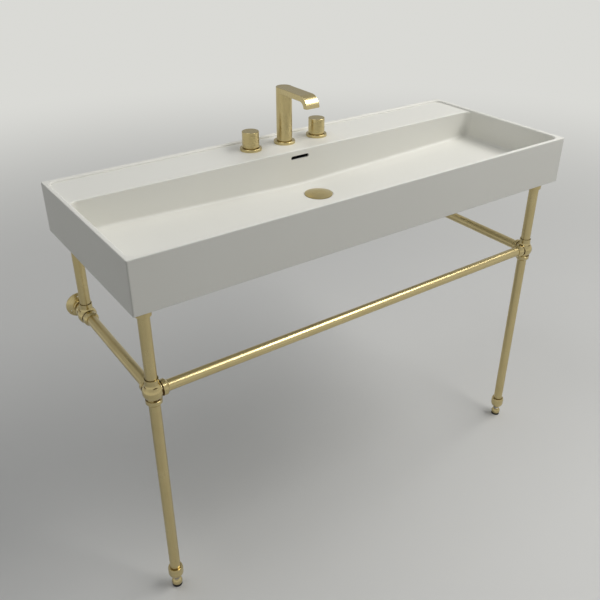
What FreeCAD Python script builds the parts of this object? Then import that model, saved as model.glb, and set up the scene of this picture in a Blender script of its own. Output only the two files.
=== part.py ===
import FreeCAD, Part
import math
import os

import Sketcher
from FreeCAD import Placement, Rotation, Vector

os.makedirs("parts", exist_ok=True)
doc = FreeCAD.newDocument("console_sink")

# Console sink: a wide fireclay basin carried by two front legs and a wall-fixed metal frame.
# Frame of the model: +Z up, +X right, the front faces -Y and the wall plane is at the back.
# x = 0 is the middle of the basin, y = 0 its mid depth and z = 0 the finished floor.

# ---------------------------------------------------------------- driving dimensions, mm

SIZES = [
    # basin, outside
    ("basin_width", 1219.0),
    ("basin_depth", 470.0),
    ("rim_height", 924.0),
    ("rim_width", 12.0),
    ("skirt_corner_round", 9.0),
    ("rim_outer_round", 6.0),
    ("rim_inner_round", 4.5),
    ("skirt_foot_round", 2.5),
    # basin, deck and bowl
    ("deck_drop", 5.0),
    ("deck_depth", 127.0),
    ("deck_thickness", 16.0),
    ("deck_edge_round", 3.0),
    ("rim_root", 9.0),
    ("bowl_depth", 98.0),
    ("skirt_below_bowl", 21.0),
    ("bowl_floor_rise", 20.0),
    ("bowl_floor_thickness", 14.0),
    ("bowl_corner_round", 20.0),
    ("bowl_foot_round", 18.0),
    ("bowl_valley_round", 1200.0),
    # basin, underside
    ("end_block", 79.5),
    ("front_ledge", 30.0),
    ("bowl_back_wall", 12.0),
    ("drain_block", 50.0),
    ("socket_recess_depth", 10.0),
    ("socket_recess_play", 1.5),
    ("wall_bolt_spacing", 560.0),
    ("wall_bolt_radius", 6.0),
    ("wall_bolt_height", 55.0),
    # overflow
    ("slot_length", 54.0),
    ("slot_height", 9.5),
    ("slot_below_deck", 19.0),
    ("duct_width", 56.0),
    ("duct_depth", 12.0),
    ("duct_wall", 8.0),
    ("duct_floor", 5.0),
    ("duct_head", 14.0),
    ("duct_run_width", 40.0),
    ("duct_run_height", 8.0),
    # faucet places
    ("faucet_from_wall", 68.5),
    ("faucet_spread", 203.2),
    ("faucet_hole_radius", 17.5),
    # faucet pieces
    ("ring_radius", 27.5),
    ("ring_height", 7.0),
    ("ring_round", 1.5),
    ("ring_step_radius", 18.0),
    ("ring_step_height", 1.2),
    ("knob_step_height", 2.0),
    ("shank_radius", 15.0),
    ("shank_play", 0.1),
    ("shank_drop", 44.0),
    ("shank_rise", 5.0),
    ("knob_radius", 21.3),
    ("knob_height", 38.2),
    ("knob_round", 1.2),
    ("knob_lift", 0.3),
    ("stem_radius", 4.0),
    ("stem_play", 0.05),
    ("stem_depth", 24.0),
    ("stem_in_knob", 18.0),
    ("valve_body_radius", 13.0),
    ("valve_body_length", 26.0),
    ("inlet_radius", 10.48),
    ("inlet_length", 20.0),
    ("outlet_radius", 7.5),
    ("outlet_root", 7.0),
    ("outlet_reach", 30.0),
    ("passage_radius", 5.0),
    ("washer_radius", 25.0),
    ("washer_thickness", 2.5),
    ("nut_across_flats", 42.0),
    ("nut_thickness", 9.0),
    # spout
    ("spout_radius", 20.0),
    ("spout_height", 142.5),
    ("spout_width", 38.0),
    ("spout_thickness", 14.0),
    ("spout_bend", 30.0),
    ("spout_run", 95.0),
    ("spout_edge_round", 0.8),
    ("spout_seat_depth", 12.0),
    ("spout_bore", 9.0),
    ("channel_width", 24.0),
    ("channel_wall", 3.5),
    ("aerator_depth", 3.0),
    ("aerator_play", 0.3),
    ("hose_end_radius", 9.0),
    ("hose_end_length", 20.0),
    # drain
    ("drain_forward", 16.0),
    ("drain_hole_radius", 23.0),
    ("drain_seat_radius", 37.5),
    ("drain_seat_sink", 0.5),
    ("drain_flange_radius", 31.0),
    ("drain_flange_thickness", 2.5),
    ("drain_flange_round", 1.0),
    ("drain_tube_radius", 22.2),
    ("drain_tube_wall", 3.2),
    ("drain_tube_length", 62.0),
    ("drain_web_drop", 26.0),
    ("drain_web_thickness", 4.0),
    ("strainer_web", 2.0),
    ("drain_socket_length", 12.0),
    ("drain_port_radius", 3.6),
    ("drain_port_pitch", 10.8),
    ("drain_gasket_radius", 33.0),
    ("drain_gasket_thickness", 4.0),
    ("drain_washer_thickness", 2.0),
    ("drain_nut_across_flats", 58.0),
    ("drain_nut_thickness", 10.0),
    ("drain_thread_play", 0.2),
    ("tailpiece_radius", 15.9),
    ("tailpiece_wall", 1.2),
    ("tailpiece_length", 95.0),
    ("tailpiece_play", 0.1),
    ("tail_end_step", 0.4),
    ("tail_shelf", 2.0),
    ("plug_radius", 35.0),
    ("plug_gap", 1.1),
    ("plug_rim", 1.5),
    ("plug_dome_rise", 6.4),
    ("plug_skirt", 3.4),
    ("plug_play", 0.4),
    ("plug_stem_radius", 5.0),
    ("plug_stem_play", 0.05),
    ("plug_stem_length", 36.0),
    ("seal_outer_radius", 28.0),
    ("seal_inner_radius", 20.0),
    ("seal_thickness", 1.7),
    # frame
    ("tube_radius", 12.7),
    ("tube_wall", 1.5),
    ("tube_play", 0.1),
    ("leg_from_side", 35.0),
    ("leg_from_front", 41.0),
    ("post_from_wall", 61.0),
    ("rail_height", 596.0),
    # ball fittings and lock rings, each wall measured from the tube's outside
    ("ball_wall", 9.8),
    ("collar_wall", 3.8),
    ("collar_run", 1.5),
    ("neck_wall", 2.3),
    ("groove_width", 2.7),
    ("ring_width", 13.8),
    ("lock_ring_wall", 5.3),
    ("ring_taper", 5.0),
    ("ring_chamfer", 0.4),
    ("ring_lip_wall", 1.2),
    ("seat_wall", 1.8),
    ("mouth_wall", 1.6),
    ("mouth_depth", 2.5),
    ("collar_chamfer", 1.2),
    ("shoulder_rise", 13.5),
    ("pear_round", 15.04),
    ("pear_end", 22.5),
    ("pear_wall", 2.2),
    ("pear_mouth_wall", 1.0),
    ("pear_mouth_depth", 1.5),
    # sockets under the basin
    ("socket_wall", 4.3),
    ("socket_flange_width", 9.5),
    ("socket_flange_thickness", 4.0),
    ("socket_length", 36.0),
    # wall flanges
    ("flange_width", 14.5),
    ("flange_dome_round", 62.0),
    ("flange_edge", 3.0),
    ("flange_dome", 9.5),
    ("flange_length", 18.0),
    ("flange_back", 5.0),
    ("flange_screw_offset", 6.5),
    ("flange_screw_radius", 2.5),
    ("flange_sink_radius", 4.6),
    ("flange_sink_height", 7.3),
    # levelling feet
    ("pad_radius", 12.0),
    ("pad_thickness", 3.0),
    ("pad_round", 0.8),
    ("foot_ball_radius", 13.0),
    ("foot_ball_centre", 11.5),
    ("stud_radius", 7.7),
    ("stud_play", 0.05),
    ("stud_top", 44.0),
    ("stud_chamfer", 1.0),
    ("foot_socket_bottom", 29.5),
    ("foot_socket_bottom_radius", 10.0),
    ("foot_socket_wall", 5.6),
    ("foot_socket_round", 22.5),
    ("foot_socket_belly_low", 44.0),
    ("foot_socket_belly_high", 52.0),
    ("foot_socket_top", 63.0),
    ("foot_socket_seat", 47.0),
]

sheet = doc.addObject("Spreadsheet::Sheet", "Sizes")
for row, (alias, number) in enumerate(SIZES, start=1):
    sheet.set("A%d" % row, alias)
    sheet.set("B%d" % row, str(number))
    sheet.setAlias("B%d" % row, alias)
doc.recompute()


class Size:
    """A length that keeps both its number and the sheet formula it comes from."""

    def __init__(self, value, text):
        self.value = float(value)
        self.text = text

    def joined(self, other, sign, value):
        other_text = other.text if isinstance(other, Size) else repr(other)
        return Size(value, "(%s %s %s)" % (self.text, sign, other_text))

    def __add__(self, other):
        return self.joined(other, "+", self.value + number_of(other))

    def __sub__(self, other):
        return self.joined(other, "-", self.value - number_of(other))

    def __mul__(self, other):
        return self.joined(other, "*", self.value * number_of(other))

    def __truediv__(self, other):
        return self.joined(other, "/", self.value / number_of(other))

    def __neg__(self):
        return Size(-self.value, "(0 - %s)" % self.text)

    def __rmul__(self, other):
        return self * other

    def __radd__(self, other):
        return self + other


def number_of(size):
    """The plain number of a Size or of a number."""
    return size.value if isinstance(size, Size) else float(size)


def other_leg(hypotenuse, leg):
    """The other short side of a right triangle."""
    value = math.sqrt(number_of(hypotenuse) ** 2 - number_of(leg) ** 2)
    return Size(value, "sqrt(%s * %s - %s * %s)"
                % (hypotenuse.text, hypotenuse.text, leg.text, leg.text))


class Sizes:
    """Every named cell of the sheet as an attribute."""


s = Sizes()
for alias, number in SIZES:
    setattr(s, alias, Size(number, "Sizes." + alias))

# ---------------------------------------------------------------- helpers

RIGHT = Vector(1, 0, 0)
LEFT = Vector(-1, 0, 0)
BACK = Vector(0, 1, 0)
FRONT = Vector(0, -1, 0)
UP = Vector(0, 0, 1)
DOWN = Vector(0, 0, -1)

nodes = []


def bind(thing, path, size):
    """Tie one property of an object to the sheet."""
    if isinstance(size, Size):
        thing.setExpression(path, size.text)


def place(thing, spot, facing=UP, side=None):
    """Put an object's origin at a spot, its own +Z along facing and its +X towards side."""
    if side is None:
        turn = Rotation(UP, facing)
    else:
        turn = Rotation(side, Vector(0, 0, 0), facing, "ZXY")
    thing.Placement = Placement(Vector(*[number_of(part) for part in spot]), turn)
    for name, part in zip("xyz", spot):
        bind(thing, "Placement.Base." + name, part)


def along(spot, direction, distance):
    """A spot moved along one of the main directions."""
    moved = []
    for part, step in zip(spot, (direction.x, direction.y, direction.z)):
        if step:
            moved.append(distance * int(step) + part)
        else:
            moved.append(part)
    return moved


def new_body(name):
    return doc.addObject("PartDesign::Body", name)


def finish_node(thing, node):
    """Name an object as one of the sub-parts that are written out."""
    thing.Label = node
    nodes.append(thing)
    return thing


def new_sketch(body, plane, offset=0, shift=0):
    """A sketch on one of the body's origin planes, moved along the plane's normal
    by an offset and along the sketch's own first direction by a shift."""
    sketch = body.newObject("Sketcher::SketchObject", "Sketch")
    for datum in body.Origin.OriginFeatures:
        if datum.Role == plane:
            sketch.AttachmentSupport = [(datum, "")]
    sketch.MapMode = "FlatFace"
    moved = Vector(number_of(shift), 0, number_of(offset))
    sketch.AttachmentOffset = Placement(moved, Rotation())
    bind(sketch, "AttachmentOffset.Base.x", shift)
    bind(sketch, "AttachmentOffset.Base.z", offset)
    return sketch


def fix_point(sketch, shape, end, across, up):
    """Hold one point of the sketch at sheet-driven distances from its origin."""
    for kind, axis, size in (("DistanceX", -2, across), ("DistanceY", -1, up)):
        value = number_of(size)
        if abs(value) < 1e-9:
            sketch.addConstraint(Sketcher.Constraint("PointOnObject", shape, end, axis))
        elif value > 0:
            index = sketch.addConstraint(Sketcher.Constraint(kind, -1, 1, shape, end, value))
            bind(sketch, "Constraints[%d]" % index, size)
        else:
            index = sketch.addConstraint(Sketcher.Constraint(kind, shape, end, -1, 1, -value))
            bind(sketch, "Constraints[%d]" % index, -size if isinstance(size, Size) else size)


def circle(sketch, across, up, radius):
    """A circle held by its centre and radius."""
    centre = Vector(number_of(across), number_of(up), 0)
    index = sketch.addGeometry(Part.Circle(centre, UP, number_of(radius)))
    fix_point(sketch, index, 3, across, up)
    rule = sketch.addConstraint(Sketcher.Constraint("Radius", index, number_of(radius)))
    bind(sketch, "Constraints[%d]" % rule, radius)


def arc_between(start, end, radius, left_turn):
    """An arc from start to end; returns it with the number of its first and last end."""
    middle = (start + end) * 0.5
    chord = end - start
    away = Vector(-chord.y, chord.x, 0)
    away.normalize()
    height = math.sqrt(max(radius * radius - chord.Length ** 2 / 4, 0.0))
    centre = middle + away * (height if left_turn else -height)
    first, last = (start, end) if left_turn else (end, start)
    low = math.atan2(first.y - centre.y, first.x - centre.x)
    high = math.atan2(last.y - centre.y, last.x - centre.x)
    if high < low:
        high += 2 * math.pi
    arc = Part.ArcOfCircle(Part.Circle(centre, UP, radius), low, high)
    return (arc, 1, 2) if left_turn else (arc, 2, 1)


def outline(sketch, corners):
    """Draw a closed outline. Each corner is (across, up) and may go on with
    "round", radius for a rounded corner, with "left" or "right", radius for an
    arc that leads to it with a left or a right turn, or with "half" for a left
    half circle that leads on smoothly from the side before."""
    spots = [Vector(number_of(corner[0]), number_of(corner[1]), 0) for corner in corners]
    count = len(corners)
    starts = list(spots)
    ends = list(spots)
    for at in range(count):
        if len(corners[at]) > 2 and corners[at][2] == "round":
            before = (spots[at - 1] - spots[at]).normalize()
            after = (spots[(at + 1) % count] - spots[at]).normalize()
            reach = number_of(corners[at][3]) / math.tan(before.getAngle(after) / 2)
            ends[at] = spots[at] + before * reach
            starts[at] = spots[at] + after * reach
    sides = []
    for at in range(count):
        to = (at + 1) % count
        corner = corners[to]
        if len(corner) > 2 and corner[2] == "half":
            radius = (ends[to] - starts[at]).Length / 2
            arc, first, last = arc_between(starts[at], ends[to], radius, True)
            sides.append((sketch.addGeometry(arc), first, last))
        elif len(corner) > 2 and corner[2] in ("left", "right"):
            radius = number_of(corner[3])
            arc, first, last = arc_between(starts[at], ends[to], radius, corner[2] == "left")
            index = sketch.addGeometry(arc)
            rule = sketch.addConstraint(Sketcher.Constraint("Radius", index, radius))
            bind(sketch, "Constraints[%d]" % rule, corner[3])
            sides.append((index, first, last))
        else:
            index = sketch.addGeometry(Part.LineSegment(starts[at], ends[to]))
            sides.append((index, 1, 2))
    for at in range(count):
        arriving, ignored, arrival = sides[at - 1]
        leaving, departure, ignored = sides[at]
        corner = corners[at]
        if len(corner) > 2 and corner[2] == "round":
            radius = number_of(corner[3])
            turn = (spots[at] - spots[at - 1]).cross(spots[(at + 1) % count] - spots[at]).z
            arc, first, last = arc_between(ends[at], starts[at], radius, turn > 0)
            index = sketch.addGeometry(arc)
            sketch.addConstraint(Sketcher.Constraint("Tangent", arriving, arrival, index, first))
            sketch.addConstraint(Sketcher.Constraint("Tangent", index, last, leaving, departure))
            rule = sketch.addConstraint(Sketcher.Constraint("Radius", index, radius))
            bind(sketch, "Constraints[%d]" % rule, corner[3])
            point = sketch.addGeometry(Part.Point(spots[at]), True)
            sketch.addConstraint(Sketcher.Constraint("PointOnObject", point, 1, arriving))
            sketch.addConstraint(Sketcher.Constraint("PointOnObject", point, 1, leaving))
            fix_point(sketch, point, 1, corner[0], corner[1])
        else:
            following = corners[(at + 1) % count]
            smooth = len(following) > 2 and following[2] == "half"
            sketch.addConstraint(Sketcher.Constraint(
                "Tangent" if smooth else "Coincident", arriving, arrival, leaving, departure))
            fix_point(sketch, leaving, departure, corner[0], corner[1])


def box_outline(sketch, left, right, low, high, radius=None):
    """A rectangle, plain or with four rounded corners."""
    tail = () if radius is None else ("round", radius)
    outline(sketch, [(left, low) + tail, (right, low) + tail,
                     (right, high) + tail, (left, high) + tail])


def hexagon(sketch, across_flats):
    """A hexagon about the origin, for a nut."""
    half = across_flats / 2
    point = half / math.cos(math.pi / 6)
    outline(sketch, [(point, 0), (point / 2, half), (-point / 2, half),
                     (-point, 0), (-point / 2, -half), (point / 2, -half)])


def stretch(body, kind, sketch, length, reverse=False, both_ways=False):
    """A pad or a pocket of a sketch."""
    feature = body.newObject("PartDesign::" + kind, kind)
    feature.Profile = sketch
    feature.SideType = "Symmetric" if both_ways else "One side"
    feature.Reversed = reverse
    feature.Length = number_of(length)
    bind(feature, "Length", length)
    sketch.Visibility = False
    return feature


def pad(body, sketch, length, reverse=False, both_ways=False):
    return stretch(body, "Pad", sketch, length, reverse, both_ways)


def pocket(body, sketch, length, reverse=False, both_ways=False):
    return stretch(body, "Pocket", sketch, length, reverse, both_ways)


def turned(body, corners, kind="Revolution"):
    """Turn an outline of (radius, height) corners round the body's own Z axis."""
    sketch = new_sketch(body, "XZ_Plane")
    outline(sketch, corners)
    feature = body.newObject("PartDesign::" + kind, kind)
    feature.Profile = sketch
    feature.ReferenceAxis = (sketch, ["V_Axis"])
    feature.Angle = 360
    return feature


def soften(body, radius, low, high, kind="Fillet", spare=None):
    """Round the edges of the body's latest shape that lie inside a box, except
    those inside a smaller box."""
    doc.recompute()
    base = body.Tip
    found = []
    for number, edge in enumerate(base.Shape.Edges, start=1):
        if edge_in_box(edge, low, high) and not (spare and edge_in_box(edge, *spare)):
            found.append("Edge%d" % number)
    if not found:
        raise RuntimeError("no edge to round on " + body.Name)
    feature = body.newObject("PartDesign::" + kind, kind)
    feature.Base = (base, found)
    size = "Radius" if kind == "Fillet" else "Size"
    setattr(feature, size, number_of(radius))
    bind(feature, size, radius)
    return feature


def edge_in_box(edge, low, high):
    """True for an edge that lies inside the box between two corners."""
    box = edge.BoundBox
    least = (box.XMin, box.YMin, box.ZMin)
    most = (box.XMax, box.YMax, box.ZMax)
    above = all(value >= number_of(limit) for value, limit in zip(least, low))
    below = all(value <= number_of(limit) for value, limit in zip(most, high))
    return above and below


def rod(name, radius, start, end, direction):
    """A plain cylinder that runs along a direction from one distance to another."""
    cylinder = doc.addObject("Part::Cylinder", name)
    cylinder.Radius = number_of(radius)
    bind(cylinder, "Radius", radius)
    length = end - start
    cylinder.Height = number_of(length)
    bind(cylinder, "Height", length)
    place(cylinder, along((0, 0, 0), direction, start), direction)
    return cylinder


def group(node, members):
    """One sub-part made of several like pieces."""
    compound = doc.addObject("Part::Compound", node)
    compound.Links = members
    return finish_node(compound, node)


# ---------------------------------------------------------------- shared places

half_width = s.basin_width / 2
half_depth = s.basin_depth / 2
skirt_height = s.bowl_depth + s.skirt_below_bowl
skirt_foot = s.rim_height - skirt_height

inner_side = half_width - s.rim_width
inner_front = -(half_depth - s.rim_width)
inner_back = half_depth - s.rim_width
bowl_back = inner_back - s.deck_depth

deck_level = skirt_height - s.deck_drop
bowl_low = s.skirt_below_bowl
slab_under = deck_level - s.deck_thickness

faucet_y = half_depth - s.faucet_from_wall
deck_z = skirt_foot + deck_level

leg_x = half_width - s.leg_from_side
leg_y = -(half_depth - s.leg_from_front)
post_y = half_depth - s.post_from_wall

drain_seat = bowl_low - s.drain_seat_sink
duct_near = bowl_back + s.duct_wall
duct_far = duct_near + s.duct_depth

fork = s.rail_height
port_seat = s.tube_radius + s.seat_wall
collar_end = port_seat + s.collar_run
ring_start = collar_end + s.groove_width
port_end = ring_start + s.ring_width
mouth_radius = s.tube_radius + s.mouth_wall
neck_radius = s.tube_radius + s.neck_wall
collar_radius = s.tube_radius + s.collar_wall
ball_radius = s.tube_radius + s.ball_wall
lock_ring_radius = s.tube_radius + s.lock_ring_wall
socket_radius = s.tube_radius + s.socket_wall
socket_flange_radius = socket_radius + s.socket_flange_width
flange_radius = collar_radius + s.flange_width
flange_screw_circle = collar_radius + s.flange_screw_offset
foot_belly_radius = s.tube_radius + s.foot_socket_wall
socket_recess = socket_flange_radius + s.socket_recess_play

OVER = 1      # mm that a cut starts outside the face it goes through
ABOUT = 0.1   # mm above and below the level at which edges are picked

SIDES = (("left", -1, RIGHT), ("right", 1, LEFT))
VALVES = (("hot", -1), ("cold", 1))


def socket_spots():
    """The four places where a leg or a post meets the basin."""
    spots = []
    for side, sign, inward in SIDES:
        spots.append(("front_" + side, leg_x * sign, leg_y))
        spots.append(("rear_" + side, leg_x * sign, post_y))
    return spots


def on_circle(radius, degrees, across=0, up=0):
    """A point on a circle, as sheet-driven distances."""
    turn = math.radians(degrees)
    return (radius * round(math.cos(turn), 9) + across, radius * round(math.sin(turn), 9) + up)


# ---------------------------------------------------------------- basin

def make_basin():
    """The fireclay basin: raised rim, flat deck, V-floored bowl, overflow and underside."""
    body = new_body("basin")
    place(body, (0, 0, skirt_foot))
    carve_bowl(body)
    carve_underside(body)
    carve_overflow(body)
    drill_basin(body)
    return finish_node(body, "basin")


def carve_bowl(body):
    """Outer block with its rim, deck and bowl."""
    block = new_sketch(body, "XY_Plane")
    box_outline(block, -half_width, half_width, -half_depth, half_depth, s.skirt_corner_round)
    pad(body, block, deck_level)

    bowl = new_sketch(body, "XY_Plane", deck_level)
    box_outline(bowl, -inner_side, inner_side, inner_front, bowl_back, s.bowl_corner_round)
    pocket(body, bowl, deck_level - bowl_low)

    # front edge of the deck, rounded over into the bowl, with its two corners
    straight = new_sketch(body, "YZ_Plane")
    outline(straight, edge_profile(bowl_back))
    pocket(body, straight, (inner_side - s.bowl_corner_round) * 2, both_ways=True)
    for side, sign, inward in SIDES:
        corner = new_sketch(body, "XZ_Plane", -(bowl_back - s.bowl_corner_round),
                            (inner_side - s.bowl_corner_round) * sign)
        outline(corner, edge_profile(s.bowl_corner_round))
        groove = body.newObject("PartDesign::Groove", "Groove")
        groove.Profile = corner
        groove.ReferenceAxis = (corner, ["V_Axis"])
        groove.Angle = 360

    # raised rim all round
    rim = new_sketch(body, "XY_Plane", deck_level - s.rim_root)
    box_outline(rim, -half_width, half_width, -half_depth, half_depth, s.skirt_corner_round)
    box_outline(rim, -inner_side, inner_side, inner_front, inner_back, s.bowl_corner_round)
    pad(body, rim, s.deck_drop + s.rim_root)

    # floor of the bowl, falling from both ends to the drain
    floor = new_sketch(body, "XZ_Plane", -bowl_back)
    floor_end = bowl_low + s.bowl_floor_rise
    floor_base = bowl_low - s.bowl_floor_thickness / 2
    outline(floor, [(0, bowl_low, "round", s.bowl_valley_round), (inner_side, floor_end),
                    (inner_side, floor_base), (-inner_side, floor_base),
                    (-inner_side, floor_end)])
    pad(body, floor, bowl_back - inner_front)
    soften(body, s.bowl_foot_round, (-inner_side - OVER, inner_front - OVER, bowl_low - OVER),
           (inner_side + OVER, bowl_back + OVER, floor_end + OVER))

    # rim, rounded outside and inside, and the foot of the skirt
    top = skirt_height
    inside = ((-inner_side - OVER, inner_front - OVER, top - ABOUT),
              (inner_side + OVER, inner_back + OVER, top + ABOUT))
    outside = ((-half_width - OVER, -half_depth - OVER, top - ABOUT),
               (half_width + OVER, half_depth + OVER, top + ABOUT))
    soften(body, s.rim_outer_round, outside[0], outside[1], spare=inside)
    soften(body, s.rim_inner_round, inside[0], inside[1])
    soften(body, s.skirt_foot_round, (-half_width - OVER, -half_depth - OVER, -ABOUT),
           (half_width + OVER, half_depth + OVER, ABOUT))


def edge_profile(face):
    """What a rounded edge takes away from a square one; face is the wall it rounds."""
    round_over = s.deck_edge_round
    return [(face, deck_level - round_over),
            (face + round_over, deck_level, "right", round_over),
            (face + round_over, deck_level + OVER), (face - OVER, deck_level + OVER),
            (face - OVER, deck_level - round_over)]


def carve_underside(body):
    """Hollows under the deck and the bowl, and flat seats for the four sockets."""
    clear = half_width - s.end_block
    boss_side = s.duct_width / 2 + s.duct_wall
    deck_front = bowl_back + s.bowl_back_wall
    boss_back = duct_far + s.duct_wall

    under_deck = new_sketch(body, "XY_Plane", slab_under)
    outline(under_deck, [
        (-clear, deck_front), (-boss_side, deck_front), (-boss_side, boss_back),
        (boss_side, boss_back), (boss_side, deck_front), (clear, deck_front),
        (clear, inner_back, "round", s.bowl_corner_round),
        (-clear, inner_back, "round", s.bowl_corner_round)])
    pocket(body, under_deck, slab_under)

    # the hollow under the bowl follows its sloping floor
    slope = s.bowl_floor_rise / inner_side
    under_floor = bowl_low - s.bowl_floor_thickness
    under_bowl = new_sketch(body, "XZ_Plane", half_depth - s.front_ledge)
    for sign in (-1, 1):
        near = s.drain_block * sign
        far = clear * sign
        outline(under_bowl, [
            (near, -OVER), (far, -OVER),
            (far, under_floor + slope * clear), (near, under_floor + slope * s.drain_block)])
    run = bowl_back - s.bowl_back_wall + half_depth - s.front_ledge
    pocket(body, under_bowl, run)

    seats = new_sketch(body, "XY_Plane", s.socket_recess_depth)
    for name, x, y in socket_spots():
        circle(seats, x, y, socket_recess)
    pocket(body, seats, s.socket_recess_depth)


def carve_overflow(body):
    """A slot in the back of the bowl and the duct from it down to the drain."""
    slot_z = deck_level - s.slot_below_deck
    half_slot = s.slot_height / 2
    straight = s.slot_length / 2 - half_slot
    slot = new_sketch(body, "XZ_Plane", -(bowl_back - OVER))
    outline(slot, [
        (-straight, slot_z - half_slot, "half"), (straight, slot_z - half_slot),
        (straight, slot_z + half_slot, "half"), (-straight, slot_z + half_slot)])
    pocket(body, slot, s.duct_wall + s.duct_depth / 2)

    fall = new_sketch(body, "XY_Plane", s.duct_floor)
    box_outline(fall, -s.duct_width / 2, s.duct_width / 2, duct_near, duct_far)
    pocket(body, fall, deck_level - s.duct_head - s.duct_floor, reverse=True)

    run = new_sketch(body, "XZ_Plane", -s.drain_forward)
    box_outline(run, -s.duct_run_width / 2, s.duct_run_width / 2,
                s.duct_floor, s.duct_floor + s.duct_run_height)
    pocket(body, run, duct_far - s.drain_forward)


def drill_basin(body):
    """Drain hole with its flat seat, faucet holes and wall bolt holes."""
    seat = new_sketch(body, "XY_Plane", bowl_low + s.bowl_foot_round)
    circle(seat, 0, s.drain_forward, s.drain_seat_radius)
    pocket(body, seat, s.bowl_foot_round + s.drain_seat_sink)

    drain = new_sketch(body, "XY_Plane", bowl_low)
    circle(drain, 0, s.drain_forward, s.drain_hole_radius)
    pocket(body, drain, bowl_low + OVER)

    faucet = new_sketch(body, "XY_Plane", deck_level + OVER)
    for sign in (-1, 0, 1):
        circle(faucet, s.faucet_spread / 2 * sign if sign else 0, faucet_y,
               s.faucet_hole_radius)
    pocket(body, faucet, s.deck_thickness + OVER * 2)

    bolts = new_sketch(body, "XZ_Plane", -(inner_back - OVER))
    for sign in (-1, 1):
        circle(bolts, s.wall_bolt_spacing / 2 * sign, s.wall_bolt_height, s.wall_bolt_radius)
    pocket(body, bolts, s.rim_width + OVER * 2)


# ---------------------------------------------------------------- frame tubes

def make_tube(node, start, direction, length):
    """A length of round tube with both ends cut square."""
    body = new_body(node)
    place(body, start, direction)
    ends = new_sketch(body, "XY_Plane")
    circle(ends, 0, 0, s.tube_radius)
    circle(ends, 0, 0, s.tube_radius - s.tube_wall)
    pad(body, ends, length)
    return finish_node(body, node)


def make_frame_tubes():
    """Legs, posts and rails, each running from seat to seat of its fittings."""
    seat = port_seat
    under_basin = skirt_foot + s.socket_recess_depth - s.socket_flange_thickness
    for side, sign, inward in SIDES:
        x = leg_x * sign
        make_tube("leg_lower_" + side, (x, leg_y, s.foot_socket_seat), UP,
                  fork - seat - s.foot_socket_seat)
        make_tube("leg_upper_" + side, (x, leg_y, fork + seat), UP, under_basin - fork - seat)
        make_tube("rear_post_" + side, (x, post_y, fork + seat), UP, under_basin - fork - seat)
        make_tube("side_rail_" + side, (x, leg_y + seat, fork), BACK,
                  post_y - leg_y - seat * 2)
        make_tube("wall_stub_" + side, (x, post_y + seat, fork), BACK,
                  half_depth - s.flange_back - post_y - seat)
    make_tube("front_rail", (-leg_x + seat, leg_y, fork), RIGHT, leg_x * 2 - seat * 2)


# ---------------------------------------------------------------- ball fittings

def fitting_places():
    """Each ball fitting: its name, its centre and the ports that have lock rings."""
    places = []
    for side, sign, inward in SIDES:
        x = leg_x * sign
        places.append(("front_" + side, (x, leg_y, fork), (DOWN, inward, BACK)))
        places.append(("rear_" + side, (x, post_y, fork), (FRONT, BACK)))
    return places


def make_ball_fitting(name, centre, ports):
    """A ball with a smooth pear neck on top and a stepped collar at each other port."""
    bore = s.tube_radius + s.tube_play
    ball = new_body(name + "_ball")
    shoulder_radius = other_leg(ball_radius, s.shoulder_rise)
    lip = port_end - s.pear_mouth_depth
    pear_radius = s.tube_radius + s.pear_wall
    turned(ball, [
        (0, -ball_radius), (ball_radius, 0, "left", ball_radius),
        (shoulder_radius, s.shoulder_rise, "left", ball_radius),
        (pear_radius, s.pear_end, "right", s.pear_round),
        (pear_radius, port_end), (0, port_end)])
    solids = [ball]
    cuts = [rod(name + "_top_bore", bore, port_seat, port_end + OVER, UP),
            rod(name + "_top_mouth", s.tube_radius + s.pear_mouth_wall, lip, port_end + OVER,
                UP)]
    for port in ports:
        solids.append(rod(name + "_collar", lock_ring_radius, 0, collar_end, port))
        solids.append(rod(name + "_neck", neck_radius, collar_end - OVER, ring_start, port))
        cuts.append(rod(name + "_bore", bore, port_seat, port_end + OVER, port))
    solid = doc.addObject("Part::MultiFuse", name + "_solid")
    solid.Shapes = solids
    hollow = doc.addObject("Part::MultiFuse", name + "_hollow")
    hollow.Shapes = cuts
    fitting = doc.addObject("Part::Cut", name)
    fitting.Base = solid
    fitting.Tool = hollow
    place(fitting, centre)
    return finish_node(fitting, "ball_fitting_" + name)


def make_lock_ring(name, centre, port):
    """A ring round a tube, chamfered where it meets the ball and tapered down to the tube."""
    body = new_body(name)
    place(body, centre, port)
    bore = s.tube_radius + s.tube_play
    chamfer = s.ring_chamfer
    turned(body, [
        (bore, ring_start), (lock_ring_radius - chamfer, ring_start),
        (lock_ring_radius, ring_start + chamfer),
        (lock_ring_radius, port_end - s.ring_taper),
        (s.tube_radius + s.ring_lip_wall, port_end), (bore, port_end)])
    return body


def make_fittings():
    """The four ball fittings with their lock rings."""
    rings = {"front": [], "rear": []}
    for name, centre, ports in fitting_places():
        make_ball_fitting(name, centre, ports)
        for number, port in enumerate(ports):
            ring = make_lock_ring("ring_%s_%d" % (name, number), centre, port)
            rings[name.split("_")[0]].append(ring)
    group("front_lock_rings", rings["front"])
    group("rear_lock_rings", rings["rear"])


# ---------------------------------------------------------------- sockets under the basin

def make_top_socket(name, x, y):
    """A flanged cup fixed under the basin that takes the end of a tube."""
    body = new_body("top_socket_" + name)
    place(body, (x, y, skirt_foot + s.socket_recess_depth))
    bore = s.tube_radius + s.tube_play
    low = -s.socket_length
    lip = s.mouth_depth - s.socket_length
    under = -s.socket_flange_thickness
    turned(body, [
        (0, under), (bore, under), (bore, lip), (mouth_radius, lip),
        (mouth_radius, low), (socket_radius - s.collar_chamfer, low),
        (socket_radius, s.collar_chamfer - s.socket_length),
        (socket_radius, under), (socket_flange_radius, under),
        (socket_flange_radius, 0), (0, 0)])
    finish_node(body, "top_socket_" + name)


# ---------------------------------------------------------------- wall flanges

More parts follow.
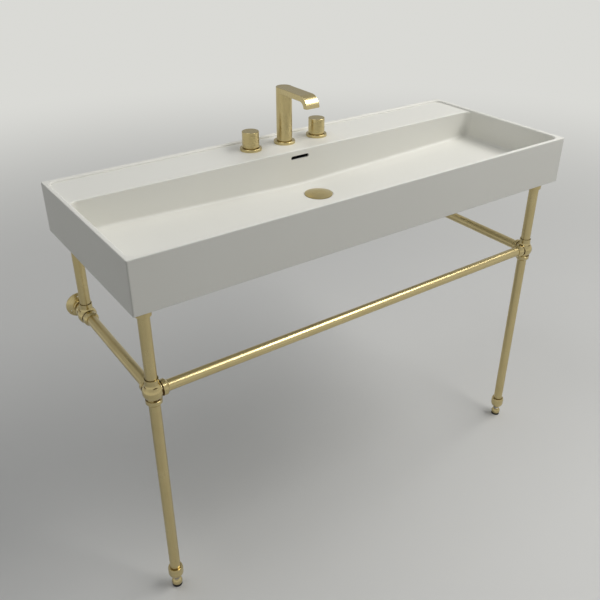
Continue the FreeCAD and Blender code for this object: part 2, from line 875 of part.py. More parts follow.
FLANGE_SCREWS = (90, 210, 330)   # degrees round the flange


def make_wall_flange(side, sign):
    """A domed flange with a boss for the stub tube and three countersunk screw holes."""
    body = new_body("wall_flange_" + side)
    place(body, (leg_x * sign, half_depth, fork), FRONT, RIGHT)
    bore = s.tube_radius + s.tube_play
    lip = s.flange_length - s.mouth_depth
    turned(body, [
        (0, 0), (flange_radius, 0), (flange_radius, s.flange_edge),
        (collar_radius, s.flange_dome, "left", s.flange_dome_round),
        (collar_radius, s.flange_length - s.collar_chamfer),
        (collar_radius - s.collar_chamfer, s.flange_length),
        (mouth_radius, s.flange_length), (mouth_radius, lip), (bore, lip),
        (bore, s.flange_back), (0, s.flange_back)])
    doc.recompute()
    sketch = new_sketch(body, "XY_Plane", s.flange_sink_height)
    for degrees in FLANGE_SCREWS:
        across, up = on_circle(flange_screw_circle, degrees)
        circle(sketch, across, up, s.flange_screw_radius)
    hole = body.newObject("PartDesign::Hole", "Hole")
    hole.Profile = sketch
    hole.Threaded = False
    hole.DepthType = "ThroughAll"
    hole.Diameter = number_of(s.flange_screw_radius * 2)
    bind(hole, "Diameter", s.flange_screw_radius * 2)
    hole.HoleCutType = "Countersink"
    hole.HoleCutCustomValues = True
    hole.HoleCutDiameter = number_of(s.flange_sink_radius * 2)
    bind(hole, "HoleCutDiameter", s.flange_sink_radius * 2)
    hole.HoleCutCountersinkAngle = 90
    return finish_node(body, "wall_flange_" + side)


# ---------------------------------------------------------------- levelling feet

def make_foot(side, sign):
    """Socket on the leg, threaded stud, brass ball and rubber pad, all on the leg's axis."""
    spot = (leg_x * sign, leg_y, 0)

    socket = new_body("foot_socket_" + side)
    place(socket, spot)
    guide = s.stud_radius + s.stud_play
    bore = s.tube_radius + s.tube_play
    lip = s.foot_socket_top - s.mouth_depth
    turned(socket, [
        (guide, s.foot_socket_bottom), (s.foot_socket_bottom_radius, s.foot_socket_bottom),
        (foot_belly_radius, s.foot_socket_belly_low, "left", s.foot_socket_round),
        (foot_belly_radius, s.foot_socket_belly_high),
        (collar_radius, s.foot_socket_top, "left", s.foot_socket_round),
        (mouth_radius, s.foot_socket_top), (mouth_radius, lip), (bore, lip),
        (bore, s.foot_socket_seat), (guide, s.foot_socket_seat)])
    finish_node(socket, "foot_socket_" + side)

    stud = new_body("foot_stud_" + side)
    place(stud, spot)
    stud_foot = s.foot_ball_centre + other_leg(s.foot_ball_radius, s.stud_radius)
    turned(stud, [
        (0, stud_foot), (s.stud_radius, stud_foot),
        (s.stud_radius, s.stud_top - s.stud_chamfer),
        (s.stud_radius - s.stud_chamfer, s.stud_top), (0, s.stud_top)])
    finish_node(stud, "foot_stud_" + side)

    ball = new_body("foot_ball_" + side)
    place(ball, spot)
    sole = other_leg(s.foot_ball_radius, s.foot_ball_centre - s.pad_thickness)
    turned(ball, [
        (0, s.pad_thickness), (sole, s.pad_thickness),
        (s.stud_radius, stud_foot, "left", s.foot_ball_radius), (0, stud_foot)])
    finish_node(ball, "foot_ball_" + side)

    rubber = new_body("foot_pad_" + side)
    place(rubber, spot)
    turned(rubber, [
        (0, 0), (s.pad_radius, 0), (s.pad_radius, s.pad_thickness, "round", s.pad_round),
        (0, s.pad_thickness)])
    finish_node(rubber, "foot_pad_" + side)


# ---------------------------------------------------------------- faucet

def make_base_ring(node, x, step):
    """The round ring on the deck, stepped in at its top."""
    body = new_body(node)
    place(body, (x, faucet_y, deck_z))
    bore = s.shank_radius + s.shank_play
    top = s.ring_height + step
    turned(body, [
        (bore, 0), (s.ring_radius, 0), (s.ring_radius, s.ring_height, "round", s.ring_round),
        (s.ring_step_radius, s.ring_height), (s.ring_step_radius, top), (bore, top)])
    finish_node(body, node)


def make_washer_and_nut(name, x):
    """The washer and hexagon nut that clamp a shank from under the deck."""
    washer = new_body(name + "_washer")
    under = deck_z - s.deck_thickness
    bore = s.shank_radius + s.shank_play
    place(washer, (x, faucet_y, under - s.washer_thickness))
    turned(washer, [(bore, 0), (s.washer_radius, 0), (s.washer_radius, s.washer_thickness),
                    (bore, s.washer_thickness)])
    finish_node(washer, name + "_washer")

    nut = new_body(name + "_nut")
    place(nut, (x, faucet_y, under - s.washer_thickness - s.nut_thickness))
    flats = new_sketch(nut, "XY_Plane")
    hexagon(flats, s.nut_across_flats)
    circle(flats, 0, 0, bore)
    pad(nut, flats, s.nut_thickness)
    finish_node(nut, name + "_nut")


def make_valve(name, sign):
    """One handle with its stem, ring, valve body, washer and nut."""
    x = s.faucet_spread / 2 * sign
    make_base_ring(name + "_base_ring", x, s.knob_step_height)
    make_washer_and_nut(name, x)

    knob_foot = s.ring_height + s.knob_step_height + s.knob_lift
    knob = new_body(name + "_handle")
    place(knob, (x, faucet_y, deck_z + knob_foot))
    turned(knob, [(0, 0), (s.knob_radius, 0),
                  (s.knob_radius, s.knob_height, "round", s.knob_round), (0, s.knob_height)])
    bore = new_sketch(knob, "XY_Plane")
    circle(bore, 0, 0, s.stem_radius + s.stem_play)
    pocket(knob, bore, s.stem_in_knob, reverse=True)
    finish_node(knob, name + "_handle")

    stem = new_body(name + "_stem")
    place(stem, (x, faucet_y, deck_z))
    turned(stem, [(0, -s.stem_depth), (s.stem_radius, -s.stem_depth),
                  (s.stem_radius, knob_foot + s.stem_in_knob), (0, knob_foot + s.stem_in_knob)])
    finish_node(stem, name + "_stem")

    valve = new_body(name + "_valve_body")
    place(valve, (x, faucet_y, deck_z), UP, LEFT if sign > 0 else RIGHT)
    shank_low = -(s.deck_thickness + s.shank_drop)
    body_low = shank_low - s.valve_body_length
    inlet_low = body_low - s.inlet_length
    guide = s.stem_radius + s.stem_play
    seat = -s.stem_depth - s.knob_lift
    turned(valve, [
        (guide, s.shank_rise), (guide, seat), (s.passage_radius, seat),
        (s.passage_radius, inlet_low), (s.inlet_radius, inlet_low),
        (s.inlet_radius, body_low), (s.valve_body_radius, body_low),
        (s.valve_body_radius, shank_low), (s.shank_radius, shank_low),
        (s.shank_radius, s.shank_rise)])
    outlet_z = shank_low - s.valve_body_length / 2
    outlet = new_sketch(valve, "YZ_Plane", s.outlet_root)
    circle(outlet, 0, outlet_z, s.outlet_radius)
    pad(valve, outlet, s.outlet_reach - s.outlet_root)
    way = new_sketch(valve, "YZ_Plane", s.outlet_reach)
    circle(way, 0, outlet_z, s.passage_radius)
    pocket(valve, way, s.outlet_reach)
    finish_node(valve, name + "_valve_body")


ARM_BEND = 85       # degrees that the end of the arm turns down
CHANNEL_BEND = 95   # the water way runs on past that end, to open it


def make_spout():
    """Round column and flat arm in one casting, bent down at its end, with a water way."""
    make_base_ring("spout_base_ring", 0, s.ring_step_height)
    make_washer_and_nut("spout", 0)
    foot = s.ring_height + s.ring_step_height

    spout = new_body("spout")
    place(spout, (0, faucet_y, deck_z))
    base = new_sketch(spout, "XY_Plane", foot)
    circle(base, 0, 0, s.spout_radius)
    pad(spout, base, s.spout_height - foot)
    arm = new_sketch(spout, "YZ_Plane")
    arm_outline(arm, 0, s.spout_thickness, ARM_BEND)
    pad(spout, arm, s.spout_width, both_ways=True)
    edge = s.spout_radius + s.spout_bend + s.spout_run
    soften(spout, s.spout_edge_round, (-edge, -edge, s.spout_height - s.spout_bend),
           (edge, edge, s.spout_height + ABOUT))

    seat = new_sketch(spout, "XY_Plane", foot)
    circle(seat, 0, 0, s.shank_radius + s.shank_play)
    pocket(spout, seat, s.spout_seat_depth, reverse=True)
    riser = new_sketch(spout, "XY_Plane", foot)
    circle(riser, 0, 0, s.spout_bore)
    roof = s.spout_height - s.channel_wall
    pocket(spout, riser, roof - s.channel_wall - foot, reverse=True)
    channel = new_sketch(spout, "YZ_Plane")
    arm_outline(channel, s.channel_wall, s.spout_thickness - s.channel_wall, CHANNEL_BEND)
    pocket(spout, channel, s.channel_width, both_ways=True)
    finish_node(spout, "spout")

    shank = new_body("spout_shank")
    place(shank, (0, faucet_y, deck_z))
    low = -(s.deck_thickness + s.shank_drop)
    hose_low = low - s.hose_end_length
    top = foot + s.spout_seat_depth
    turned(shank, [
        (s.passage_radius, hose_low), (s.hose_end_radius, hose_low), (s.hose_end_radius, low),
        (s.shank_radius, low), (s.shank_radius, top), (s.passage_radius, top)])
    finish_node(shank, "spout_shank")

    aerator = new_body("spout_aerator")
    bend = (0, faucet_y - s.spout_run, deck_z + s.spout_height - s.spout_bend)
    place(aerator, bend)
    turn = Rotation(RIGHT, ARM_BEND)
    aerator.Placement = Placement(aerator.Placement.Base, turn)
    plate = new_sketch(aerator, "XZ_Plane")
    half = s.channel_width / 2 - s.aerator_play
    inner = s.spout_bend - s.spout_thickness + s.channel_wall + s.aerator_play
    outer = s.spout_bend - s.channel_wall - s.aerator_play
    box_outline(plate, -half, half, inner, outer)
    pad(aerator, plate, s.aerator_depth, reverse=True)
    finish_node(aerator, "spout_aerator")


def arm_outline(sketch, inset, reach, degrees):
    """Side view of the arm between two depths under its top face, bent by an angle."""
    outer = s.spout_bend - inset
    inner = s.spout_bend - reach
    centre_z = s.spout_height - s.spout_bend
    across = -math.sin(math.radians(degrees))
    up = math.cos(math.radians(degrees))
    outline(sketch, [
        (0, s.spout_height - inset), (-s.spout_run, s.spout_height - inset),
        (outer * across - s.spout_run, outer * up + centre_z, "left", outer),
        (inner * across - s.spout_run, inner * up + centre_z),
        (-s.spout_run, s.spout_height - reach, "right", inner),
        (0, s.spout_height - reach)])


# ---------------------------------------------------------------- drain

STRAINER_HOLES = 6


def make_drain():
    """Flanged drain tube with its lift-up cover, and what clamps it under the basin."""
    spot = (0, s.drain_forward, skirt_foot + drain_seat)
    inner = s.drain_tube_radius - s.drain_tube_wall
    web_low = -s.drain_web_drop - s.drain_web_thickness
    tube_low = -s.drain_tube_length
    shelf = s.drain_socket_length - s.drain_tube_length
    tail_end = s.tailpiece_radius - s.tail_end_step
    grip = tail_end + s.tailpiece_play
    guide = s.plug_stem_radius + s.plug_stem_play

    flange = new_body("drain_flange")
    place(flange, spot)
    turned(flange, [
        (inner, s.drain_flange_thickness), (inner, -s.drain_web_drop),
        (guide, -s.drain_web_drop), (guide, web_low), (inner, web_low),
        (inner, shelf + s.drain_web_thickness),
        (s.tailpiece_radius - s.tail_shelf, shelf + s.drain_web_thickness),
        (s.tailpiece_radius - s.tail_shelf, shelf), (grip, shelf), (grip, tube_low),
        (s.drain_tube_radius, tube_low), (s.drain_tube_radius, 0), (s.drain_flange_radius, 0),
        (s.drain_flange_radius, s.drain_flange_thickness, "round", s.drain_flange_round)])
    strainer = new_sketch(flange, "XY_Plane", -s.drain_web_drop)
    for number in range(STRAINER_HOLES):
        across, up = on_circle((inner + guide) / 2, (number + 0.5) * 360 / STRAINER_HOLES)
        circle(strainer, across, up, (inner - guide) / 2 - s.strainer_web)
    pocket(flange, strainer, s.drain_web_thickness + OVER)
    ports = new_sketch(flange, "XZ_Plane", -s.drain_tube_radius - OVER)
    port_z = s.duct_floor + s.duct_run_height / 2 - drain_seat
    for sign in (-1, 0, 1):
        circle(ports, s.drain_port_pitch * sign if sign else 0, port_z, s.drain_port_radius)
    pocket(flange, ports, s.drain_tube_radius + OVER, reverse=True)
    finish_node(flange, "drain_flange")

    bore = s.drain_tube_radius + s.drain_thread_play
    under = -drain_seat
    gasket = new_body("drain_gasket")
    place(gasket, spot)
    turned(gasket, ring_section(bore, s.drain_gasket_radius, under - s.drain_gasket_thickness, under))
    finish_node(gasket, "drain_gasket")

    washer = new_body("drain_washer")
    place(washer, spot)
    washer_top = under - s.drain_gasket_thickness
    nut_top = washer_top - s.drain_washer_thickness
    turned(washer, ring_section(bore, s.drain_gasket_radius, nut_top, washer_top))
    finish_node(washer, "drain_washer")

    nut = new_body("drain_nut")
    place(nut, spot)
    flats = new_sketch(nut, "XY_Plane", nut_top)
    hexagon(flats, s.drain_nut_across_flats)
    circle(flats, 0, 0, bore)
    pad(nut, flats, s.drain_nut_thickness, reverse=True)
    finish_node(nut, "drain_nut")

    tail = new_body("drain_tailpiece")
    place(tail, spot)
    tail_bore = s.tailpiece_radius - s.tailpiece_wall
    tail_low = shelf - s.tailpiece_length
    turned(tail, [
        (tail_bore, tail_low), (s.tailpiece_radius, tail_low), (s.tailpiece_radius, tube_low),
        (tail_end, tube_low), (tail_end, shelf), (tail_bore, shelf)])
    finish_node(tail, "drain_tailpiece")

    seal_low = s.drain_flange_thickness
    seal_top = seal_low + s.seal_thickness
    seal = new_body("drain_plug_seal")
    place(seal, spot)
    turned(seal, ring_section(s.seal_inner_radius, s.seal_outer_radius, seal_low, seal_top))
    finish_node(seal, "drain_plug_seal")

    plug = new_body("drain_plug")
    place(plug, spot)
    skirt_inner = s.plug_radius - s.plug_skirt
    seal_edge = s.seal_outer_radius + s.plug_play
    over_flange = s.drain_flange_thickness + s.plug_play
    rise = s.plug_dome_rise
    dome_foot = s.plug_gap + s.plug_rim
    dome_radius = (s.plug_radius * s.plug_radius + rise * rise) / (rise * 2)
    turned(plug, [
        (0, seal_top - s.plug_stem_length), (s.plug_stem_radius, seal_top - s.plug_stem_length),
        (s.plug_stem_radius, seal_top), (seal_edge, seal_top), (seal_edge, over_flange),
        (skirt_inner, over_flange), (skirt_inner, s.plug_gap),
        (s.plug_radius, s.plug_gap), (s.plug_radius, dome_foot),
        (0, dome_foot + rise, "left", dome_radius)])
    finish_node(plug, "drain_plug")


def ring_section(inner, outer, low, high):
    """The section of a flat ring, for turning."""
    return [(inner, low), (outer, low), (outer, high), (inner, high)]


# ---------------------------------------------------------------- assembly

make_basin()
make_drain()
make_spout()
for name, sign in VALVES:
    make_valve(name, sign)
make_frame_tubes()
make_fittings()
for name, x, y in socket_spots():
    make_top_socket(name, x, y)
for side, sign, inward in SIDES:
    make_wall_flange(side, sign)
    make_foot(side, sign)
doc.recompute()

for thing in doc.Objects:
    if "Invalid" in thing.State or "Error" in thing.State:
        raise RuntimeError("%s of %s failed" % (thing.Name, [user.Label for user in thing.InList]))
for thing in doc.Objects:
    if thing.TypeId in ("PartDesign::Pocket", "PartDesign::Groove", "PartDesign::Hole",
                        "PartDesign::SubtractiveLoft"):
        if thing.Shape.Volume > thing.BaseFeature.Shape.Volume - 0.01:
            raise RuntimeError(thing.Name + " takes nothing away")
for thing in nodes:
    if thing.Shape.isNull() or not thing.Shape.isValid():
        raise RuntimeError(thing.Label + " has no sound shape")
for thing in nodes:
    thing.Shape.exportStep("parts/" + thing.Label + ".step")
print(len(nodes), "sub-parts written")
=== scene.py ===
import bmesh
import bpy
import math
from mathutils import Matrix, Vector


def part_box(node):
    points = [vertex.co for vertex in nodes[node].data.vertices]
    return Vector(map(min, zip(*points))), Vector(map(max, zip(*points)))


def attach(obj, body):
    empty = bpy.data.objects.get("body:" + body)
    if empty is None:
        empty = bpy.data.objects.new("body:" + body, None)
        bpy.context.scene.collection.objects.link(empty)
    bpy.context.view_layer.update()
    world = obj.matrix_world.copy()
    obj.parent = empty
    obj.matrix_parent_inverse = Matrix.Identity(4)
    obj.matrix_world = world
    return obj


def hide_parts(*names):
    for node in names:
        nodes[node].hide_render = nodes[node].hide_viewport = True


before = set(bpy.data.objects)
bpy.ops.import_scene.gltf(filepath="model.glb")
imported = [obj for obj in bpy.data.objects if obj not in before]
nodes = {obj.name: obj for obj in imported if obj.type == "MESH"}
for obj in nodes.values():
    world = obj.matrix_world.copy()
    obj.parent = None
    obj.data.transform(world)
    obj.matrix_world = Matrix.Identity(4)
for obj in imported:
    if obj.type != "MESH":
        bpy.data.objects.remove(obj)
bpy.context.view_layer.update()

# ------------------------------------------------------------------ basin
# One casting of fireclay under a thick white glaze, with the crisp edges that a slip mould gives.
# The maker grinds the back flat where it meets the wall and leaves that face bare; the rest has
# the soft unevenness that a fired glaze keeps. The overflow way inside the wall is painted near
# black, as painted shade for its deep hollow.

basin_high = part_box("basin")[1]
WALL_FACE = basin_high.y - 0.0015   # behind this the clay is bare, m
DUCT_HALF_WIDTH = 0.0285            # the overflow way, from its middle
DUCT_DEPTH = (0.1003, 0.1165)       # its front and back
DUCT_HEIGHT = (0.8095, 0.9075)      # its foot and head
GLAZE_WHITE = (0.77, 0.765, 0.715, 1)
GLAZE_THIN = (0.73, 0.72, 0.66, 1)
BARE_CLAY = (0.62, 0.57, 0.49, 1)
CLAY_SHADE = (0.50, 0.45, 0.38, 1)
# painted shade: the overflow way is painted near black for the shade deep inside it
DUCT_PAINTED_SHADE = (0.012, 0.012, 0.012, 1)


def plug(tree, place, value):
    """Link a value that is another node's socket, or set a plain one."""
    if isinstance(value, bpy.types.NodeSocket):
        tree.links.new(value, place)
    else:
        place.default_value = value


def add(tree, kind, **values):
    """One node with its named inputs set."""
    node = tree.nodes.new(kind)
    for name, value in values.items():
        plug(tree, node.inputs[name.replace("_", " ")], value)
    return node


def math_node(tree, operation, *values):
    """A Math node's result."""
    node = tree.nodes.new("ShaderNodeMath")
    node.operation = operation
    for place, value in zip(node.inputs, values):
        plug(tree, place, value)
    return node.outputs[0]


def blend_colours(tree, mask, first, second):
    """The first colour where the mask is 0, the second where it is 1."""
    node = tree.nodes.new("ShaderNodeMix")
    node.data_type = "RGBA"
    plug(tree, node.inputs[0], mask)
    plug(tree, node.inputs[6], first)
    plug(tree, node.inputs[7], second)
    return node.outputs[2]


def spread_value(tree, value, low, high):
    """A 0 to 1 value spread between two numbers."""
    return add(tree, "ShaderNodeMapRange", Value=value, To_Min=low, To_Max=high).outputs[0]


def split_vector(tree, vector):
    """The X, Y and Z of a vector."""
    node = tree.nodes.new("ShaderNodeSeparateXYZ")
    tree.links.new(vector, node.inputs[0])
    return node.outputs


def new_group(name, inputs, outputs):
    """An empty shader node group with named sockets, and its two end nodes."""
    tree = bpy.data.node_groups.new(name, "ShaderNodeTree")
    for label, kind, value in inputs:
        socket = tree.interface.new_socket(label, in_out="INPUT", socket_type=kind)
        if value is not None:
            socket.default_value = value
    for label, kind in outputs:
        tree.interface.new_socket(label, in_out="OUTPUT", socket_type=kind)
    return tree, tree.nodes.new("NodeGroupInput"), tree.nodes.new("NodeGroupOutput")


def use_group(tree, group, **values):
    """A node that runs a shader group with its named inputs set."""
    node = tree.nodes.new("ShaderNodeGroup")
    node.node_tree = group
    for name, value in values.items():
        plug(tree, node.inputs[name.replace("_", " ")], value)
    return node


def new_material(name):
    """A material, its tree, and the place on the object that its patterns read."""
    material = bpy.data.materials.new(name)
    material.use_nodes = True
    tree = material.node_tree
    return material, tree, tree.nodes.new("ShaderNodeTexCoord").outputs["Object"]


def finish(material, colour, roughness, height, strength, distance, metallic=0.0):
    """Put a finish's colour, roughness, bump and metal on its shader."""
    tree = material.node_tree
    shader = tree.nodes["Principled BSDF"]
    tree.links.new(colour, shader.inputs["Base Color"])
    tree.links.new(roughness, shader.inputs["Roughness"])
    shader.inputs["Metallic"].default_value = metallic
    bump = add(tree, "ShaderNodeBump", Strength=strength, Distance=distance, Height=height)
    tree.links.new(bump.outputs[0], shader.inputs["Normal"])
    return material


def wear(material, *names):
    """Give CAD nodes this finish."""
    for name in names:
        mesh = nodes[name].data
        if not mesh.materials:
            mesh.materials.append(material)
        for index in range(len(mesh.materials)):
            mesh.materials[index] = material


def build_unevenness():
    """Cloudy light and dark patches at two scales, for glaze, metal and rubber alike."""
    tree, start, end = new_group(
        "unevenness",
        [("Vector", "NodeSocketVector", None), ("Patch Scale", "NodeSocketFloat", 6.0),
         ("Grain Scale", "NodeSocketFloat", 900.0)],
        [("Patches", "NodeSocketFloat"), ("Grain", "NodeSocketFloat")])
    place = start.outputs["Vector"]
    patches = add(tree, "ShaderNodeTexNoise", Vector=place, Scale=start.outputs["Patch Scale"],
                  Detail=3.0, Roughness=0.55)
    grain = add(tree, "ShaderNodeTexNoise", Vector=place, Scale=start.outputs["Grain Scale"],
                Detail=2.0, Roughness=0.6)
    tree.links.new(patches.outputs[0], end.inputs["Patches"])
    tree.links.new(grain.outputs[0], end.inputs["Grain"])
    return tree


unevenness = build_unevenness()


def glazed_fireclay():
    """White glaze with a faint ripple and a few pinholes, bare clay on the wall side, and
    painted shade in the overflow way.
    """
    material, tree, where = new_material("glazed_fireclay")
    cloud = use_group(tree, unevenness, Vector=where, Patch_Scale=5.0, Grain_Scale=700.0)
    ripple = add(tree, "ShaderNodeTexNoise", Vector=where, Scale=38.0, Detail=1.0)
    pits = add(tree, "ShaderNodeTexVoronoi", Vector=where, Scale=85.0)
    pit = math_node(tree, "LESS_THAN", pits.outputs["Distance"], 0.035)
    rare = math_node(tree, "GREATER_THAN", cloud.outputs["Patches"], 0.6)
    pit = math_node(tree, "MULTIPLY", pit, rare)

    spot = split_vector(tree, where)
    bare = math_node(tree, "GREATER_THAN", spot["Y"], WALL_FACE)
    aside = math_node(tree, "ABSOLUTE", spot["X"])
    duct_shade = math_node(tree, "LESS_THAN", aside, DUCT_HALF_WIDTH)
    for axis, (low, high) in (("Y", DUCT_DEPTH), ("Z", DUCT_HEIGHT)):
        above = math_node(tree, "GREATER_THAN", spot[axis], low)
        below = math_node(tree, "LESS_THAN", spot[axis], high)
        duct_shade = math_node(tree, "MULTIPLY", duct_shade, math_node(tree, "MULTIPLY", above, below))

    tone = spread_value(tree, cloud.outputs["Patches"], 0.0, 0.55)
    glaze = blend_colours(tree, tone, GLAZE_WHITE, GLAZE_THIN)
    clay = blend_colours(tree, cloud.outputs["Grain"], BARE_CLAY, CLAY_SHADE)
    colour = blend_colours(tree, bare, glaze, clay)
    # painted shade: the overflow way's surfaces go near black and rough
    colour = blend_colours(tree, duct_shade, colour, DUCT_PAINTED_SHADE)

    rough = spread_value(tree, cloud.outputs["Patches"], 0.44, 0.54)
    rough = math_node(tree, "MAXIMUM", rough, math_node(tree, "MULTIPLY", bare, 0.75))
    rough = math_node(tree, "MAXIMUM", rough, math_node(tree, "MULTIPLY", duct_shade, 0.8))
    height = math_node(tree, "SUBTRACT", ripple.outputs[0],
                       math_node(tree, "MULTIPLY", pit, 0.5))
    rough_clay = math_node(tree, "MULTIPLY", cloud.outputs["Grain"], bare)
    height = math_node(tree, "ADD", height, rough_clay)
    return finish(material, colour, rough, height, strength=0.08, distance=0.0008)


wear(glazed_fireclay(), "basin")

RIM_WALL = 0.012                    # the wall round the bowl, m
DECK_DEPTH = 0.127                  # from that wall at the back to the bowl
BOWL_DEPTH = 0.098                  # from the rim to the floor at the drain
BOWL_CORNER = 0.020
FLOOR_FALL = 0.020                  # the floor's fall to the drain, from both ends
VALLEY_ROUND = 1.2                  # the wide round where its two slopes meet
RIM_TOP = basin_high.z
OUTER_HALF = tuple(basin_high.xy)   # half the casting's width and depth
BOWL_FRONT = RIM_WALL - OUTER_HALF[1]
BOWL_BACK = OUTER_HALF[1] - RIM_WALL - DECK_DEPTH
BOWL_MIDDLE = (BOWL_FRONT + BOWL_BACK) / 2
BOWL_HALF = (OUTER_HALF[0] - RIM_WALL, (BOWL_BACK - BOWL_FRONT) / 2)
FLOOR_LOW = RIM_TOP - BOWL_DEPTH
FLOOR_SLOPE = FLOOR_FALL / BOWL_HALF[0]
CORNER_ROUNDS = (0.009, 0.0035)     # outer upright corners: as in the frame, and as cast
RIM_ROUNDS = (0.006, 0.0025)        # the rim's outer edge, in the same way
FOOT_ROUNDS = (0.018, 0.008)        # and the foot of the bowl's walls
NEAR = 0.00005                      # slack where a place is tested for these rounds


def way_in(x, y, half, radius):
    """How far a place lies inside a rounded rectangle, square to its side, and the way out."""
    across = half[0] - abs(x)
    deep = half[1] - abs(y)
    right = math.copysign(1, x)
    back = math.copysign(1, y)
    if across < radius and deep < radius:
        reach = math.hypot(radius - across, radius - deep)
        outward = ((radius - across) / reach * right, (radius - deep) / reach * back)
        return radius - reach, outward
    if across < deep:
        return across, (right, 0)
    return deep, (0, back)


def bowl_floor(x):
    """The height of the bowl's floor, a shallow V with a rounded valley."""
    steep = math.hypot(1, FLOOR_SLOPE)
    if abs(x) < VALLEY_ROUND * FLOOR_SLOPE / steep:
        return FLOOR_LOW + VALLEY_ROUND * steep - math.sqrt(VALLEY_ROUND ** 2 - x * x)
    return FLOOR_LOW + FLOOR_SLOPE * abs(x)


def crisp_round(spot, outline, level, upward, rounds):
    """Draw the round between upright walls and a level face in towards its edge. The outline is
    the walls' middle, half sizes and corner; upward is 1 where the walls rise from the face and
    -1 where they drop."""
    middle, half, corner = outline
    wide, narrow = rounds
    depth, outward = way_in(spot.x, spot.y - middle, half, corner)
    height = (spot.z - level(spot.x)) * upward
    if not (-NEAR < depth < wide + NEAR and -NEAR < height < wide + 3 * NEAR):
        return
    shift = depth * (1 - narrow / wide)
    spot.x += outward[0] * shift
    spot.y += outward[1] * shift
    spot.z = level(spot.x) + upward * height * narrow / wide


def crisp_corner(spot):
    """Draw an upright corner in, with every line round it kept at its depth."""
    wide, narrow = CORNER_ROUNDS
    across = OUTER_HALF[0] - abs(spot.x)
    deep = OUTER_HALF[1] - abs(spot.y)
    reach = math.hypot(wide - across, wide - deep)
    if across > wide + NEAR or deep > wide + NEAR or reach < wide - narrow:
        return
    scale = (narrow - wide + reach) / reach
    spot.x = math.copysign(OUTER_HALF[0] - narrow + (wide - across) * scale, spot.x)
    spot.y = math.copysign(OUTER_HALF[1] - narrow + (wide - deep) * scale, spot.y)


def merged_copy(source, name):
    """A copy of a CAD node's mesh, with its triangles joined at their corners."""
    places = {}
    shared = [places.setdefault(tuple(vertex.co), len(places)) for vertex in source.vertices]
    faces = [[shared[index] for index in face.vertices] for face in source.polygons]
    mesh = bpy.data.meshes.new(name)
    mesh.from_pydata(list(places), [], faces, shade_flat=False)
    mesh.materials.append(source.materials[0])
    return mesh


def cast_basin():
    """The same casting, with its edges as crisp as the mould leaves them."""
    source = nodes["basin"].data
    mesh = merged_copy(source, "basin_casting")
    bowl = (BOWL_MIDDLE, BOWL_HALF, BOWL_CORNER)
    skirt = (0, OUTER_HALF, CORNER_ROUNDS[0])
    for vertex in mesh.vertices:
        spot = vertex.co.copy()
        crisp_round(spot, bowl, bowl_floor, 1, FOOT_ROUNDS)
        crisp_round(spot, skirt, lambda x: RIM_TOP, -1, RIM_ROUNDS)
        crisp_corner(spot)
        vertex.co = spot
    mesh.normals_split_custom_set([tuple(corner.vector) for corner in source.corner_normals])
    piece = bpy.data.objects.new("basin_casting", mesh)
    bpy.context.scene.collection.objects.link(piece)
    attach(piece, "stand")
    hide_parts("basin")


cast_basin()

# ------------------------------------------------------------------ drain
# A turned brass flange and tube with a domed cover that lifts on its stem. A rubber gasket, a
# washer and a hexagon nut clamp it under the bowl, and a thin brass tailpiece screws in below.


def middle_of(node):
    """The middle of a CAD node's box."""
    low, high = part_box(node)
    return (low + high) / 2


DRAIN_PLACE = tuple(middle_of("drain_nut").xy)
DRAIN_THREAD_PITCH = 0.0023
DRAIN_THREAD_RADIUS = 0.0222
DRAIN_THREAD_START = 0.001          # above the tube's end, m
NUT_CLEAR = 0.0004                  # a thread stops this far below its nut
RIDGE_SHARE = 0.30                  # a ridge's size, as a share of the pitch
BRASS_LIGHT = (0.64, 0.535, 0.285, 1)
BRASS_DEEP = (0.55, 0.45, 0.225, 1)
# painted shade for the groove and mouth lines on the ball fittings
GROOVE_PAINTED_SHADE = (0.10, 0.055, 0.02, 1)


def build_brushing():
    """Fine lines left by the belt or the lathe; the vector given is long along the lines."""
    tree, start, end = new_group(
        "brushing",
        [("Vector", "NodeSocketVector", None), ("Lines", "NodeSocketFloat", 2600.0)],
        [("Lines", "NodeSocketFloat"), ("Height", "NodeSocketFloat")])
    fine = add(tree, "ShaderNodeTexNoise", Vector=start.outputs["Vector"],
               Scale=start.outputs["Lines"], Detail=2.0, Roughness=0.7)
    broad = math_node(tree, "MULTIPLY", start.outputs["Lines"], 0.22)
    bands = add(tree, "ShaderNodeTexNoise", Vector=start.outputs["Vector"], Scale=broad,
                Detail=1.0)
    both = math_node(tree, "MULTIPLY", math_node(tree, "ADD", fine.outputs[0], bands.outputs[0]),
                     0.5)
    tree.links.new(both, end.inputs["Lines"])
    tree.links.new(fine.outputs[0], end.inputs["Height"])
    return tree


brushing = build_brushing()


def vector_node(tree, operation, *values):
    """A Vector Math node: the node itself, because it has two outputs."""
    node = tree.nodes.new("ShaderNodeVectorMath")
    node.operation = operation
    for place, value in zip(node.inputs, values):
        plug(tree, place, value)
    return node


def lathe_lines(tree, where, middle, spread, axis):
    """Distance from a turned piece's own axis and along it. Pieces that stand in pairs share it:
    spread is how far each is from the pair's middle."""
    offset = vector_node(tree, "SUBTRACT", where, middle).outputs[0]
    if any(spread):
        offset = vector_node(tree, "ABSOLUTE", offset).outputs[0]
        offset = vector_node(tree, "SUBTRACT", offset, spread).outputs[0]
    flat = [0.0 if name == axis else 1.0 for name in "XYZ"]
    radial = vector_node(tree, "MULTIPLY", offset, flat).outputs[0]
    radius = vector_node(tree, "LENGTH", radial).outputs["Value"]
    along = split_vector(tree, offset)[axis]
    joined = add(tree, "ShaderNodeCombineXYZ", X=radius, Y=along, Z=0.0)
    return joined.outputs[0], offset


def belt_lines(tree, where, axis):
    """The object's own place, drawn out along one axis, as a belt leaves a tube."""
    scale = tuple(0.012 if name == axis else 1.0 for name in "XYZ")
    return add(tree, "ShaderNodeMapping", Vector=where, Scale=scale).outputs[0]


